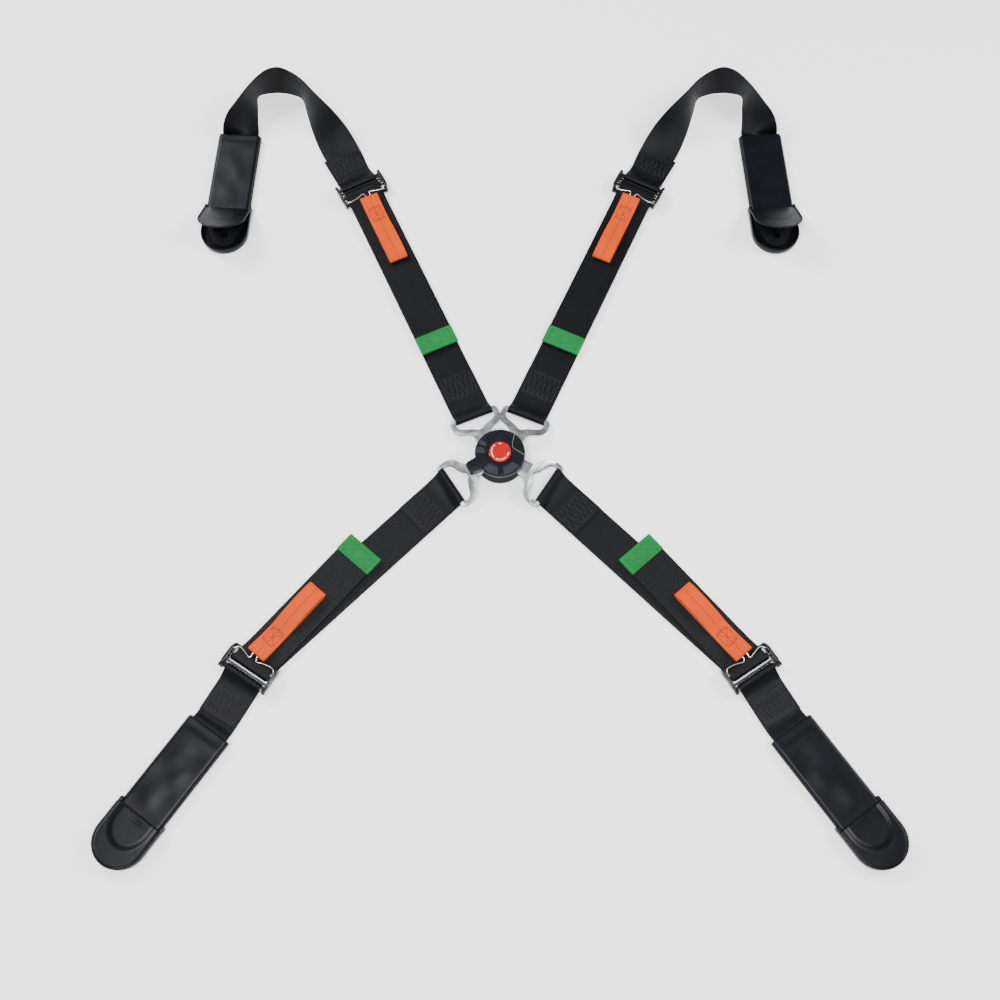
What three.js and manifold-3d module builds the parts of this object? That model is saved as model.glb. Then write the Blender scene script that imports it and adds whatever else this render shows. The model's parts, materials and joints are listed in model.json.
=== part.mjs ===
// Four-arm racing harness with a rotary cam buckle, in millimetres.
// The origin is the middle of the buckle's back face; +Z faces the driver's front,
// +Y points to the shoulder arms and +X to the right-hand arms as they are seen.
// The right shoulder arm and the left lap arm are drawn; the other two are their mirror images.
import * as THREE from 'three';
import { mergeVertices } from 'three/addons/utils/BufferGeometryUtils.js';
import Module from 'manifold-3d';

const wasm = await Module();
wasm.setup();

// ---------------------------------------------------------------- driving dimensions
const GAP = 0.3; // air between pieces that touch on the real harness
const WEB = 50; // webbing width, two inches
const WEB_THICK = 1.3;
const LAYER = WEB_THICK + GAP; // from one webbing layer to the next

const buckle = {
  radius: 31.4,
  housingRadius: 30.6,
  wall: 3,
  backThick: 2.4,
  lowerDeck: [11.3, 13.1],
  upperDeck: [16.9, 18.6],
  housingTop: 21.5,
  knobTop: 30.5,
  knobSkin: 2.5,
  buttonRadius: 13.7,
  buttonTop: 33.5,
  pivotRadius: 21,
  pinRadius: 3.4,
  pinLift: 3.8,
  turn: 40, // degrees that the knob turns to let go
  postRadius: 4.5,
  postHead: [23.6, 25.4],
  leverBottom: 17.6,
  leverHeading: -117,
  pockets: [[-83, 10.5], [-60.5, 8], [-152, 25], [148, 24]], // heading and half angle of each
  pocketReach: [18.5, 28.4],
  pocketDepth: 1.2,
};

const rotor = { inner: 12.2, outer: 17.2, bottom: 19, low: 21.9 };
const HEAD_HALF_ANGLE = 13; // half the arc of a latch pin's head over the rotor, in degrees

const tongue = {
  thick: 3,
  bottom: 13.5,
  shankHalf: 10.5,
  reach: 50.5, // latch pin to crossbar
  barHeight: 5.35, // middle of the crossbar above the floor
  barWidth: 6,
  armWidth: 5.6,
  armRoot: 9,
  halfSpan: 32.4,
  holeRadius: 4,
};

const loopRadius = Math.hypot(tongue.barWidth, tongue.thick) / 2 + GAP + WEB_THICK / 2 + 0.2;

const adjuster = {
  half: 17, // half length
  cheekIn: 29.4,
  cheekOut: 31.4,
  cheekTop: 14,
  deck: [4.6, 6.6],
  frontBar: [-17, -12],
  middleBar: [4.6, 6.8],
  rearBar: [9, 15],
  ear: 34.3,
  bar: { y: -2, z: 6.3, radius: 3.2, pin: 1.2, travel: 2.5 },
  wire: { y: -10, z: 11.5, radius: 0.9 },
  eye: { y: -19.5, radius: 2.4 },
};

const boot = {
  sleeve: 122,
  length: 187,
  sleeveHalf: 29,
  trayHalf: 32,
  bottom: 0.3,
  top: 10.1,
  skin: 1.7,
  lidThick: 1.5,
  boltHole: 9,
};

const plate = {
  near: 122,
  far: 178,
  half: 28,
  noseRadius: 17,
  thick: 2.5,
  middle: 5.2,
  boltRadius: 5.7,
  padRadius: 12,
  pad: 0.5,
};
const boltAt = plate.far - plate.noseRadius;

const pull = { width: 25, thick: 1.2, length: 107 };
const tag = { width: 51, length: 25, thick: 1.1 };
const SEWN_END = 66; // where the belt's sewn upper layer ends
const TAIL_HEIGHT = 5.7; // middle of the tail above the floor
const FLOOR_RUN = 1; // middle of a strap that lies on the floor

// The natural side of each kind of arm. A heading is the clockwise angle from +Y, in degrees.
const ARM_KINDS = {
  shoulder: {
    naturalSide: 'right',
    pivotHeading: 45.4,
    tongueHeading: 22.5,
    beltHeading: 24.5,
    adjusterAt: 372,
    adjusterShift: 1,
    adjusterHeading: 27,
    tailEnd: 107,
    tailShift: 0,
    pullShift: -2,
    pullHeading: 24.5,
    bootAt: [363.5, 488],
    bootHeading: 176.3,
    lidAngle: 34,
  },
  lap: {
    naturalSide: 'left',
    pivotHeading: -114.7,
    tongueHeading: -123,
    beltHeading: -134.2,
    adjusterAt: 330,
    adjusterShift: -1.2,
    adjusterHeading: -147,
    tailEnd: 131,
    tailShift: 15,
    pullShift: 2,
    pullHeading: -139.5,
    bootAt: [-339, -338.2],
    bootHeading: -144.6,
    lidAngle: 0,
  },
};

// ---------------------------------------------------------------- materials
function finish(color, roughness, metalness) {
  return () => new THREE.MeshStandardMaterial({ color, roughness, metalness });
}

const MATERIALS = {
  webbing: finish(0x23242a, 0.75, 0),
  boot: finish(0x28282d, 0.45, 0),
  greenWeb: finish(0x2fae52, 0.8, 0),
  orangeWeb: finish(0xff8c3c, 0.8, 0),
  tongueSteel: finish(0xb9bec2, 0.3, 1),
  blackSteel: finish(0x16171a, 0.4, 0.6),
  wire: finish(0xc9c4b4, 0.3, 1),
  plateSteel: finish(0x9a9da0, 0.45, 1),
  knob: finish(0x1d1d24, 0.5, 0),
  button: finish(0xd8352f, 0.4, 0),
  casting: finish(0x1a1a1d, 0.5, 0.3),
  spring: finish(0x8d9094, 0.35, 1),
};

// ---------------------------------------------------------------- solids
function bare(geometry) {
  const copy = geometry.clone();
  copy.deleteAttribute('normal');
  copy.deleteAttribute('uv');
  return mergeVertices(copy, 1e-4);
}

function toManifold(geometry) {
  const merged = bare(geometry);
  const index = Array.from(merged.index.array);
  const kept = [];
  for (let i = 0; i < index.length; i += 3) {
    const [a, b, c] = index.slice(i, i + 3);
    if (a !== b && b !== c && c !== a) kept.push(a, b, c);
  }
  return new wasm.Manifold(new wasm.Mesh({
    numProp: 3,
    vertProperties: Float32Array.from(merged.attributes.position.array),
    triVerts: Uint32Array.from(kept),
  }));
}

function fromManifold(solid) {
  const mesh = solid.getMesh();
  const geometry = new THREE.BufferGeometry();
  geometry.setAttribute('position', new THREE.BufferAttribute(mesh.vertProperties, 3));
  geometry.setIndex(new THREE.BufferAttribute(mesh.triVerts, 1));
  return geometry;
}

/** The first geometry joined with those in `add`, less those in `cut`. */
function combine(first, { add = [], cut = [] }) {
  let solid = toManifold(first);
  for (const piece of add) solid = solid.add(toManifold(piece));
  for (const piece of cut) solid = solid.subtract(toManifold(piece));
  return fromManifold(solid);
}

/** A closed mesh from rings of points: each ring joins to the next, and the two end rings are capped. */
function loft(rings) {
  const sides = rings[0].length;
  const positions = rings.flat().flatMap((p) => [p.x, p.y, p.z]);
  const faces = [];
  for (let i = 0; i + 1 < rings.length; i++) {
    for (let k = 0; k < sides; k++) {
      const next = (k + 1) % sides;
      const [a, b] = [i * sides + k, i * sides + next];
      const [c, d] = [a + sides, b + sides];
      faces.push(a, d, b, a, c, d);
    }
  }
  const last = (rings.length - 1) * sides;
  for (let k = 1; k + 1 < sides; k++) {
    faces.push(0, k, k + 1);
    faces.push(last, last + k + 1, last + k);
  }
  const geometry = new THREE.BufferGeometry();
  geometry.setAttribute('position', new THREE.Float32BufferAttribute(positions, 3));
  geometry.setIndex(faces);
  return geometry;
}

/**
 * A flat strap through stations { at, across }: the middle of the strap and the vector from there
 * to its +across edge. The thickness stands square to both the path and the across vector.
 */
function strap(stations, thick) {
  const rings = stations.map((station, i) => {
    const before = stations[Math.max(i - 1, 0)].at;
    const after = stations[Math.min(i + 1, stations.length - 1)].at;
    const along = after.clone().sub(before).normalize();
    const normal = station.across.clone().cross(along).normalize();
    const into = station.at.clone().sub(before);
    const bend = i > 0 && i + 1 < stations.length ? into.normalize().dot(along) : 1;
    normal.multiplyScalar(thick / 2 / Math.max(bend, 0.5));
    const { at, across } = station;
    return [
      at.clone().add(across).add(normal),
      at.clone().sub(across).add(normal),
      at.clone().sub(across).sub(normal),
      at.clone().add(across).sub(normal),
    ];
  });
  return loft(rings);
}

function extrude(shape, zLow, zHigh, curveSegments = 8) {
  const depth = zHigh - zLow;
  const geometry = new THREE.ExtrudeGeometry(shape, { depth, bevelEnabled: false, curveSegments });
  return geometry.translate(0, 0, zLow);
}

function polygon(points) {
  return new THREE.Shape(points.map(([x, y]) => new THREE.Vector2(x, y)));
}

function box([x0, x1], [y0, y1], [z0, z1]) {
  const geometry = new THREE.BoxGeometry(x1 - x0, y1 - y0, z1 - z0);
  return geometry.translate((x0 + x1) / 2, (y0 + y1) / 2, (z0 + z1) / 2);
}

/** A round bar along Z. */
function disc(radius, zLow, zHigh, sides = 24) {
  const geometry = new THREE.CylinderGeometry(radius, radius, zHigh - zLow, sides);
  return geometry.rotateX(Math.PI / 2).translate(0, 0, (zLow + zHigh) / 2);
}

/** A round bar along X, centred on (y, z). */
function crossBar(radius, xHalf, y, z, sides = 12) {
  const geometry = new THREE.CylinderGeometry(radius, radius, 2 * xHalf, sides);
  return geometry.rotateZ(Math.PI / 2).translate(0, y, z);
}

function wireAlong(curve, radius, steps, sides = 6) {
  const section = new THREE.Shape();
  section.absarc(0, 0, radius, 0, 2 * Math.PI);
  return new THREE.ExtrudeGeometry(section, { steps, extrudePath: curve, curveSegments: sides / 2 });
}

function helix(radius, zLow, zHigh, turns, wireRadius, stepsPerTurn = 9) {
  const count = Math.round(turns * stepsPerTurn);
  const points = [];
  for (let i = 0; i <= count; i++) {
    const angle = (i / stepsPerTurn) * 2 * Math.PI;
    const z = zLow + ((zHigh - zLow) * i) / count;
    points.push(new THREE.Vector3(radius * Math.cos(angle), radius * Math.sin(angle), z));
  }
  return wireAlong(new THREE.CatmullRomCurve3(points), wireRadius, count, 6);
}

function mirrored(geometry) {
  const copy = bare(geometry).scale(-1, 1, 1);
  const index = copy.index.array;
  for (let i = 0; i < index.length; i += 3) [index[i], index[i + 1]] = [index[i + 1], index[i]];
  return copy;
}

// ---------------------------------------------------------------- frames
const radians = THREE.MathUtils.degToRad;

/** The point that is `x` to the right of and `y` along a heading from `frame`, as a new frame. */
function from(frame, x, y, heading = frame.heading) {
  const a = radians(frame.heading);
  return {
    x: frame.x + x * Math.cos(a) + y * Math.sin(a),
    y: frame.y - x * Math.sin(a) + y * Math.cos(a),
    heading,
  };
}

/** Where a frame lies in another one's x, y and turn. */
function within(frame, inner) {
  const a = radians(frame.heading);
  const [dx, dy] = [inner.x - frame.x, inner.y - frame.y];
  return {
    x: dx * Math.cos(a) - dy * Math.sin(a),
    y: dx * Math.sin(a) + dy * Math.cos(a),
    turn: inner.heading - frame.heading,
  };
}

const ORIGIN = { x: 0, y: 0, heading: 0 };

const vec = (x, y, z) => new THREE.Vector3(x, y, z);

/** Half the webbing's width along a bar that is turned by `turn` degrees from square. */
function skewedAcross(turn, width = WEB) {
  return vec(width / 2, (-width / 2) * Math.tan(radians(turn)), 0);
}

/** Points on an arc in the y-z plane, from one angle to another, in degrees from +y towards +z. */
function arcStations(y, z, radius, fromDeg, toDeg, steps, across) {
  const stations = [];
  for (let i = 0; i <= steps; i++) {
    const a = radians(fromDeg + ((toDeg - fromDeg) * i) / steps);
    stations.push({ at: vec(0, y + radius * Math.cos(a), z + radius * Math.sin(a)), across });
  }
  return stations;
}

// ---------------------------------------------------------------- arm pieces
/** A stamped tongue: shank over the latch pin, two curved arms, and the bar that the belt loops round. */
function makeTongue() {
  const shankTop = tongue.bottom + tongue.thick;
  const middle = tongue.bottom + tongue.thick / 2;
  const { shankHalf, halfSpan, reach, barHeight } = tongue;
  const shank = polygon([
    [-5.5, -7], [5.5, -7], [8.5, -3], [shankHalf, 2], [shankHalf, 15], [shankHalf + 1.5, 22],
    [3, 22.5], [0, 24], [-3, 22.5], [-shankHalf - 1.5, 22], [-shankHalf, 15], [-shankHalf, 2], [-8.5, -3],
  ]);
  const lug = halfSpan - tongue.armWidth / 2;
  // half of the arm's middle line: x, y, share of the way down to the bar, width
  const half = [
    [6.6, 19, 0, tongue.armRoot],
    [9.6, 24, 0.1, tongue.armRoot],
    [14, 28.2, 0.3, 8],
    [20.5, 31, 0.5, 7.4],
    [26.2, 34.6, 0.75, 6.8],
    [lug, 41.5, 1, tongue.armWidth],
    [lug, 45.8, 1, tongue.armWidth],
    [lug - 0.9, 49, 1, tongue.armWidth],
    [lug - 3.5, reach, 1, tongue.barWidth],
  ];
  const mirrorHalf = half.map(([x, y, drop, width]) => [-x, y, drop, width]).reverse();
  const line = [...half, ...mirrorHalf];
  const middleAt = ([x, y, drop]) => vec(x, y, THREE.MathUtils.lerp(middle, barHeight, drop));
  const stations = line.map((entry, i) => {
    const before = middleAt(line[Math.max(i - 1, 0)]);
    const after = middleAt(line[Math.min(i + 1, line.length - 1)]);
    const along = after.sub(before).setZ(0).normalize();
    const across = vec(along.y, -along.x, 0).multiplyScalar(entry[3] / 2);
    return { at: middleAt(entry), across };
  });
  return combine(extrude(shank, tongue.bottom, shankTop), {
    add: [strap(stations, tongue.thick)],
    cut: [disc(tongue.holeRadius, 0, 30, 16)],
  });
}

/** The long strap: sewn end on top, loop round the tongue's bar, lower run out to the adjuster. */
function makeBelt(barTurn, runLength, endTurn) {
  const across = vec(WEB / 2, 0, 0);
  const loopAcross = skewedAcross(barTurn);
  const low = tongue.barHeight - loopRadius;
  const stations = [
    { at: vec(0, SEWN_END, low + LAYER), across },
    { at: vec(0, 16, low + LAYER), across },
    { at: vec(0, 9.5, low + 3.4), across: loopAcross },
    ...arcStations(0, tongue.barHeight, loopRadius, 62, 270, 7, loopAcross),
    { at: vec(0, 14, low), across },
    { at: vec(0, runLength - 26, low), across },
    { at: vec(0, runLength - 8, low + 0.2), across: skewedAcross(endTurn) },
  ];
  return strap(stations, WEB_THICK);
}

/** The strap's free run: round the slide bar and back over the belt to the tagged end. */
function makeTail(bar, start, end) {
  const across = skewedAcross(bar.turn);
  const { radius: barRadius } = adjuster.bar;
  const radius = barRadius + GAP + WEB_THICK / 2;
  const heading = vec(end.x - bar.x, end.y - bar.y, 0).normalize();
  const runAcross = vec(-heading.y, heading.x, 0).multiplyScalar(WEB / 2);
  const roll = arcStations(0, adjuster.bar.z, radius, -80, 105, 7, across);
  for (const station of roll) station.at.add(vec(bar.x, bar.y, 0));
  const run = [[9, 9.4], [14, 7.9], [20, 7], [30, 6]].map(([distance, z]) => (
    {
      at: vec(bar.x, bar.y, z).addScaledVector(heading, distance),
      across: distance < 20 ? across : runAcross,
    }
  ));
  return strap([
    { at: vec(start.x, start.y, start.z), across },
    ...roll,
    ...run,
    { at: vec(end.x, end.y, TAIL_HEIGHT), across: runAcross },
  ], WEB_THICK);
}

/** A folded tag over the tail's end, drawn along +y from the fold. */
function makeTag() {
  const inner = WEB_THICK / 2 + GAP;
  const r = inner + tag.thick / 2;
  const across = vec(tag.width / 2, 0, 0);
  return strap([
    { at: vec(0, tag.length, TAIL_HEIGHT + r), across },
    ...arcStations(r, TAIL_HEIGHT, r, 90, 270, 4, across),
    { at: vec(0, tag.length, TAIL_HEIGHT - r), across },
  ], tag.thick);
}

/** Steel frame: front and rear bars, a window for the slide bar, and two upright cheeks with ears. */
function makeAdjusterFrame() {
  const { cheekIn, cheekOut, cheekTop, deck, frontBar, middleBar, rearBar, ear, half, bar, wire } = adjuster;
  const base = polygon([
    [-cheekOut, frontBar[0]], [cheekOut, frontBar[0]], [cheekOut, rearBar[1]], [-cheekOut, rearBar[1]],
  ]);
  const cheek = polygon([
    [-half, 2.6], [-half + 3, 0.2], [half - 2, 0.2], [half, 2], [half, 8], [half - 4, cheekTop - 2],
    [half - 7, cheekTop - 0.5], [-half + 5, cheekTop], [-half, cheekTop - 5],
  ]);
  const cheekSolid = extrude(cheek, 0, cheekOut - cheekIn);
  cheekSolid.applyMatrix4(new THREE.Matrix4().makeBasis(vec(0, 1, 0), vec(0, 0, 1), vec(1, 0, 0)));
  const sides = [1, -1];
  const cheeks = sides.map((side) => (
    cheekSolid.clone().translate(side > 0 ? cheekIn : -cheekOut, 0, 0)
  ));
  const ears = sides.map((side) => {
    const width = side > 0 ? [cheekOut - 1, ear] : [-ear, 1 - cheekOut];
    return box(width, [half - 7, half - 0.6], [deck[0], deck[1] + 2.4]);
  });
  const slotHalf = [bar.travel + bar.pin + GAP, bar.pin + GAP];
  return combine(extrude(base, deck[0], deck[1]), {
    add: [...cheeks, ...ears],
    cut: [
      box([1 - cheekIn, cheekIn - 1], [frontBar[1], middleBar[0]], [0, 20]),
      box([1 - cheekIn, cheekIn - 1], [middleBar[1], rearBar[0]], [0, 20]),
      box([-40, 40], [bar.y - slotHalf[0], bar.y + slotHalf[0]], [bar.z - slotHalf[1], bar.z + slotHalf[1]]),
      crossBar(wire.radius + GAP + 0.1, 40, wire.y, wire.z, 8),
    ],
  });
}

function makeSlideBar() {
  const { y, z, radius, pin } = adjuster.bar;
  return combine(crossBar(radius, adjuster.cheekIn - 1 - GAP, y, z), {
    add: [crossBar(pin, adjuster.cheekOut + 0.8, y, z, 8)],
  });
}

/** Spring-steel bail: its ends turn in the cheeks, and its middle hook carries the pull loop. */
function makeBail(eye) {
  const { y, z, radius } = adjuster.wire;
  const a = -radians(eye.turn);
  const hook = (x, back) => [
    eye.x + x * Math.cos(a) - back * Math.sin(a),
    eye.y + x * Math.sin(a) + back * Math.cos(a),
  ];
  const side = (s) => [
    [s * (adjuster.cheekOut + 0.9), y],
    [s * 28.6, y],
    [s * 26.4, y - 2.6],
    [s * 23.5, y - 4.4],
    [eye.x + s * 15, y - 3.4],
    [eye.x + s * 7, y - 0.6],
    [eye.x + s * 4.4, y - 1.4],
    hook(s * 3.4, 4.6),
    hook(s * 3.2, 0.4),
  ];
  const points = [...side(1), ...side(-1).reverse()].map(([px, py]) => vec(px, py, z));
  return wireAlong(new THREE.CatmullRomCurve3(points, false, 'centripetal'), radius, 26, 6);
}

/** Webbing pull: a slit eye round the bail's hook, a sewn stem, and an open finger loop. */
function makePull() {
  const { thick, length, width } = pull;
  const r = adjuster.eye.radius;
  const across = vec(width / 2, 0, 0);
  const seam = -37.5;
  const stem = [-6, -r - 0.4];
  const flat = -4.15; // lower layer above the tail, below the eye's middle
  const path = [
    [seam, flat + 0.25], [-24, flat + 0.6], [-12, -3.4], stem,
  ].map(([y, z]) => ({ at: vec(0, y, z), across }));
  const eye = arcStations(0, 0, r, -90, 92, 6, across);
  const loopEnd = [
    [-8, 0.6], [-24, flat + 2.3], [-40, flat + 1.9], [-56, 1.2], [-76, 3.6], [-94, 3.2], [-102, 1.7],
    [-length + 1.6, -0.6], [-length + 2.2, -2.6], [-101, flat], [-80, flat], [-60, flat],
    [seam - 0.6, flat + 0.2],
  ].map(([y, z]) => ({ at: vec(0, y, z), across }));
  const band = strap([...path, ...eye, ...loopEnd], thick);
  const slits = [1, -1].map((s) => box(s > 0 ? [1.5, 5.2] : [-5.2, -1.5], [-2.2, 5], [-1.9, 5]));
  return combine(band, { cut: slits });
}

/** Outline of the boot's round-ended tray, from `near` to its far end, inset all round by `inset`. */
function trayShape(near, inset, halfWidth = boot.trayHalf) {
  const r = halfWidth - inset;
  const centre = boot.length - halfWidth;
  const shape = new THREE.Shape();
  shape.moveTo(-r, near);
  shape.lineTo(r, near);
  shape.absarc(0, centre, r, 0, Math.PI);
  return shape;
}

/** Soft cover over the anchor: a flat sleeve for the webbing and a round-ended tray, open on top. */
function makeBoot() {
  const { sleeve, sleeveHalf, bottom, top, skin, boltHole } = boot;
  const body = extrude(trayShape(sleeve - 6, 0), bottom, top, 10);
  const sleeveSolid = extrude(polygon([
    [-sleeveHalf + 2, 0], [sleeveHalf - 2, 0], [sleeveHalf, 3], [sleeveHalf, sleeve],
    [-sleeveHalf, sleeve], [-sleeveHalf, 3],
  ]), bottom, top);
  return combine(body, {
    add: [sleeveSolid],
    cut: [
      box([-26.2, 26.2], [-1, sleeve + 2], [bottom + skin, top - skin]),
      extrude(trayShape(sleeve, 2.2), bottom + skin, top + 5, 10),
      disc(boltHole, -1, top, 16).translate(0, boltAt, 0),
    ],
  });
}

/** Round-ended lid, hinged on the sleeve's end. */
function makeLid() {
  const low = boot.top + GAP;
  return extrude(trayShape(boot.sleeve + 0.6, 0), low, low + boot.lidThick, 10);
}

/** Steel anchor plate: a slot for the webbing, a bolt hole and a raised washer pad round it. */
function makePlate() {
  const { near, far, half, thick, middle, boltRadius, pad } = plate;
  const outline = new THREE.Shape();
  outline.moveTo(-half, near + 2);
  outline.lineTo(-half + 2, near);
  outline.lineTo(half - 2, near);
  outline.lineTo(half, near + 2);
  outline.lineTo(half, near + 16);
  outline.absarc(0, boltAt, plate.noseRadius, radians(10), radians(170));
  outline.lineTo(-half, near + 16);
  const [low, high] = [middle - thick / 2, middle + thick / 2];
  return combine(extrude(outline, low, high, 7), {
    add: [disc(plate.padRadius, high - 0.5, high + pad, 20).translate(0, boltAt, 0)],
    cut: [
      box([-WEB / 2 - 0.7, WEB / 2 + 0.7], [near + 5, near + 12.5], [0, 12]),
      disc(boltRadius, 0, 20, 16).translate(0, boltAt, 0),
    ],
  });
}

/** Stations of a strap that wraps the adjuster's rear bar: sewn end on top, round, and out on the floor. */
function rearBarStations(barFrame, strapTurn) {
  const barMiddle = (adjuster.deck[0] + adjuster.deck[1]) / 2;
  const barDepth = adjuster.rearBar[1] - adjuster.rearBar[0];
  const barThick = adjuster.deck[1] - adjuster.deck[0];
  const radius = Math.hypot(barDepth, barThick) / 2 + GAP + WEB_THICK / 2;
  const low = FLOOR_RUN;
  const a = -radians(strapTurn);
  const square = vec(WEB / 2, 0, 0);
  const turned = vec((WEB / 2) * Math.cos(a), (WEB / 2) * Math.sin(a), 0);
  const out = (distance, z) => ({ at: vec(-Math.sin(a) * distance, Math.cos(a) * distance, z), across: turned });
  const local = [
    out(56, low + LAYER),
    out(16, low + LAYER),
    out(8.5, low + 4.2),
    ...arcStations(0, barMiddle, radius, 65, 270, 6, square),
    out(16, low),
  ];
  return local.map((station) => toWorld(station, barFrame));
}

function toWorld({ at, across }, frame) {
  const turn = new THREE.Matrix4().makeRotationZ(-radians(frame.heading));
  return {
    at: at.clone().applyMatrix4(turn).add(vec(frame.x, frame.y, 0)),
    across: across.clone().applyMatrix4(turn),
  };
}

/** Stations inside the boot: into the sleeve, round the anchor plate's bar and back on top. */
function bootStations(bootFrame) {
  const across = vec(WEB / 2, 0, 0);
  const barY = plate.near + 2.5;
  const r = plate.thick / 2 + GAP + WEB_THICK / 2;
  const stations = [
    { at: vec(0, -2, 4.9), across },
    { at: vec(0, 90, 4.2), across },
    { at: vec(0, barY - 8, plate.middle - r), across },
    { at: vec(0, barY + 2.9, plate.middle - r), across },
    { at: vec(0, barY + 2.9 + 0.75 * r, plate.middle - 0.66 * r), across },
    { at: vec(0, barY + 2.9 + r, plate.middle), across },
    { at: vec(0, barY + 2.9 + 0.75 * r, plate.middle + 0.66 * r), across },
    { at: vec(0, barY + 2.9, plate.middle + r), across },
    { at: vec(0, 76, plate.middle + r - 0.2), across },
  ];
  return stations.map((station) => toWorld(station, bootFrame));
}

/**
 * The right shoulder anchor strap's turn back on itself. Its inner edge stays on the floor while its
 * outer edge lifts until the strap stands on edge, and lies down again at the boot. Each entry is the
 * inner edge's x and y, and the outer edge's x, y and z.
 */
const LOOP_START = { x: 219, y: 452 }; // the strap heads here from the adjuster
const SHOULDER_LOOP = [
  [238, 441, 196, 467, 5],
  [252, 469, 213, 489, 24],
  [264, 500, 233, 508, 39],
  [273, 530, 257, 529, 47],
  [281, 554, 275, 549, 50],
  [296, 562, 294, 563, 50.5],
  [313, 565, 311, 569, 50.5],
  [330, 564, 328, 562, 50.5],
  [344, 558, 347, 542, 47.5],
  [343, 537, 362, 521, 43.5],
  [341, 512, 378, 504, 33],
  [339, 496, 385, 493, 19],
];

function loopStations() {
  return SHOULDER_LOOP.map(([ix, iy, ox, oy, oz]) => {
    const inner = vec(ix, iy, FLOOR_RUN);
    const across = inner.clone().sub(vec(ox, oy, oz)).setLength(WEB / 2);
    return { at: inner.clone().sub(across), across };
  });
}

function makeAnchorStrap(kind, barFrame, bootFrame) {
  const first = kind === 'shoulder' ? LOOP_START : bootFrame;
  const target = within(barFrame, { ...first, heading: 0 });
  const heading = THREE.MathUtils.radToDeg(Math.atan2(target.x, target.y));
  const start = rearBarStations(barFrame, heading);
  const middle = kind === 'shoulder' ? loopStations() : [];
  return strap([...start, ...middle, ...bootStations(bootFrame)], WEB_THICK);
}

// ---------------------------------------------------------------- buckle pieces
const PIN_HEADINGS = {
  shoulder_right: ARM_KINDS.shoulder.pivotHeading,
  shoulder_left: -ARM_KINDS.shoulder.pivotHeading,
  lap_left: ARM_KINDS.lap.pivotHeading,
  lap_right: -ARM_KINDS.lap.pivotHeading,
};
const CAPTIVE = 'lap_left'; // this arm's tongue stays in the buckle

function atPin(geometry, heading) {
  const a = radians(heading);
  return geometry.translate(buckle.pivotRadius * Math.sin(a), buckle.pivotRadius * Math.cos(a), 0);
}

/** Housing: three decks in one round wall, with a mouth for each tongue. */
function makeHousing() {
  const { housingRadius, wall, backThick, lowerDeck, upperDeck, housingTop } = buckle;
  const inside = housingRadius - wall;
  const bottom = backThick + GAP;
  const mouths = Object.entries(PIN_HEADINGS).map(([arm, heading]) => {
    const kind = ARM_KINDS[arm.split('_')[0]];
    const side = arm.endsWith(kind.naturalSide) ? 1 : -1;
    const mouth = box([-12.6, 12.6], [-4, 24], [lowerDeck[1], upperDeck[0]]);
    return atPin(mouth.rotateZ(-radians(side * kind.tongueHeading)), heading);
  });
  const pinHoles = Object.values(PIN_HEADINGS).map((heading) => (
    atPin(disc(buckle.pinRadius + 0.4, upperDeck[0] - 1, upperDeck[1] + 1, 12), heading)
  ));
  return combine(disc(housingRadius, bottom, housingTop, 40), {
    cut: [
      disc(inside, bottom - 1, lowerDeck[0], 40),
      disc(inside, lowerDeck[1], upperDeck[0], 40),
      disc(inside, upperDeck[1], housingTop + 1, 40),
      disc(buckle.postRadius + 0.4, 0, 30, 16),
      ...mouths,
      ...pinHoles,
    ],
  });
}

/** Hollow centre post that holds the stack together and guides the button's stem. */
function makePost() {
  const foot = buckle.backThick + GAP;
  return combine(disc(buckle.postRadius, foot, buckle.postHead[1], 16), {
    add: [disc(8, buckle.postHead[0], buckle.postHead[1], 20)],
    cut: [disc(3.2, 14, 40, 12)],
  });
}

/** Cam ring under the latch pins' heads: turning it anticlockwise drives its ramps under them. */
function makeRotor() {
  const steps = 60;
  const rise = (bearing) => {
    let height = 0;
    for (const heading of Object.values(PIN_HEADINGS)) {
      // how far clockwise of this pin the bearing lies, from -180 to 180 degrees
      const past = ((bearing - heading + 540) % 360) - 180;
      const share = (past - HEAD_HALF_ANGLE) / buckle.turn;
      if (share > 0 && share <= 1) height = Math.max(height, share * buckle.pinLift);
    }
    return height;
  };
  const rings = [];
  for (let i = 0; i < steps; i++) {
    const bearing = (i * 360) / steps;
    const a = radians(bearing);
    const top = rotor.low + rise(bearing) - 0.15;
    const point = (r, z) => vec(r * Math.sin(a), r * Math.cos(a), z);
    rings.push([
      point(rotor.inner, top), point(rotor.outer, top),
      point(rotor.outer, rotor.bottom), point(rotor.inner, rotor.bottom),
    ]);
  }
  const geometry = loft([...rings, rings[0]]);
  const index = Array.from(geometry.index.array);
  const capFaces = 2 * 2 * 3;
  geometry.setIndex(index.slice(0, index.length - capFaces));
  return bare(geometry);
}

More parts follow.
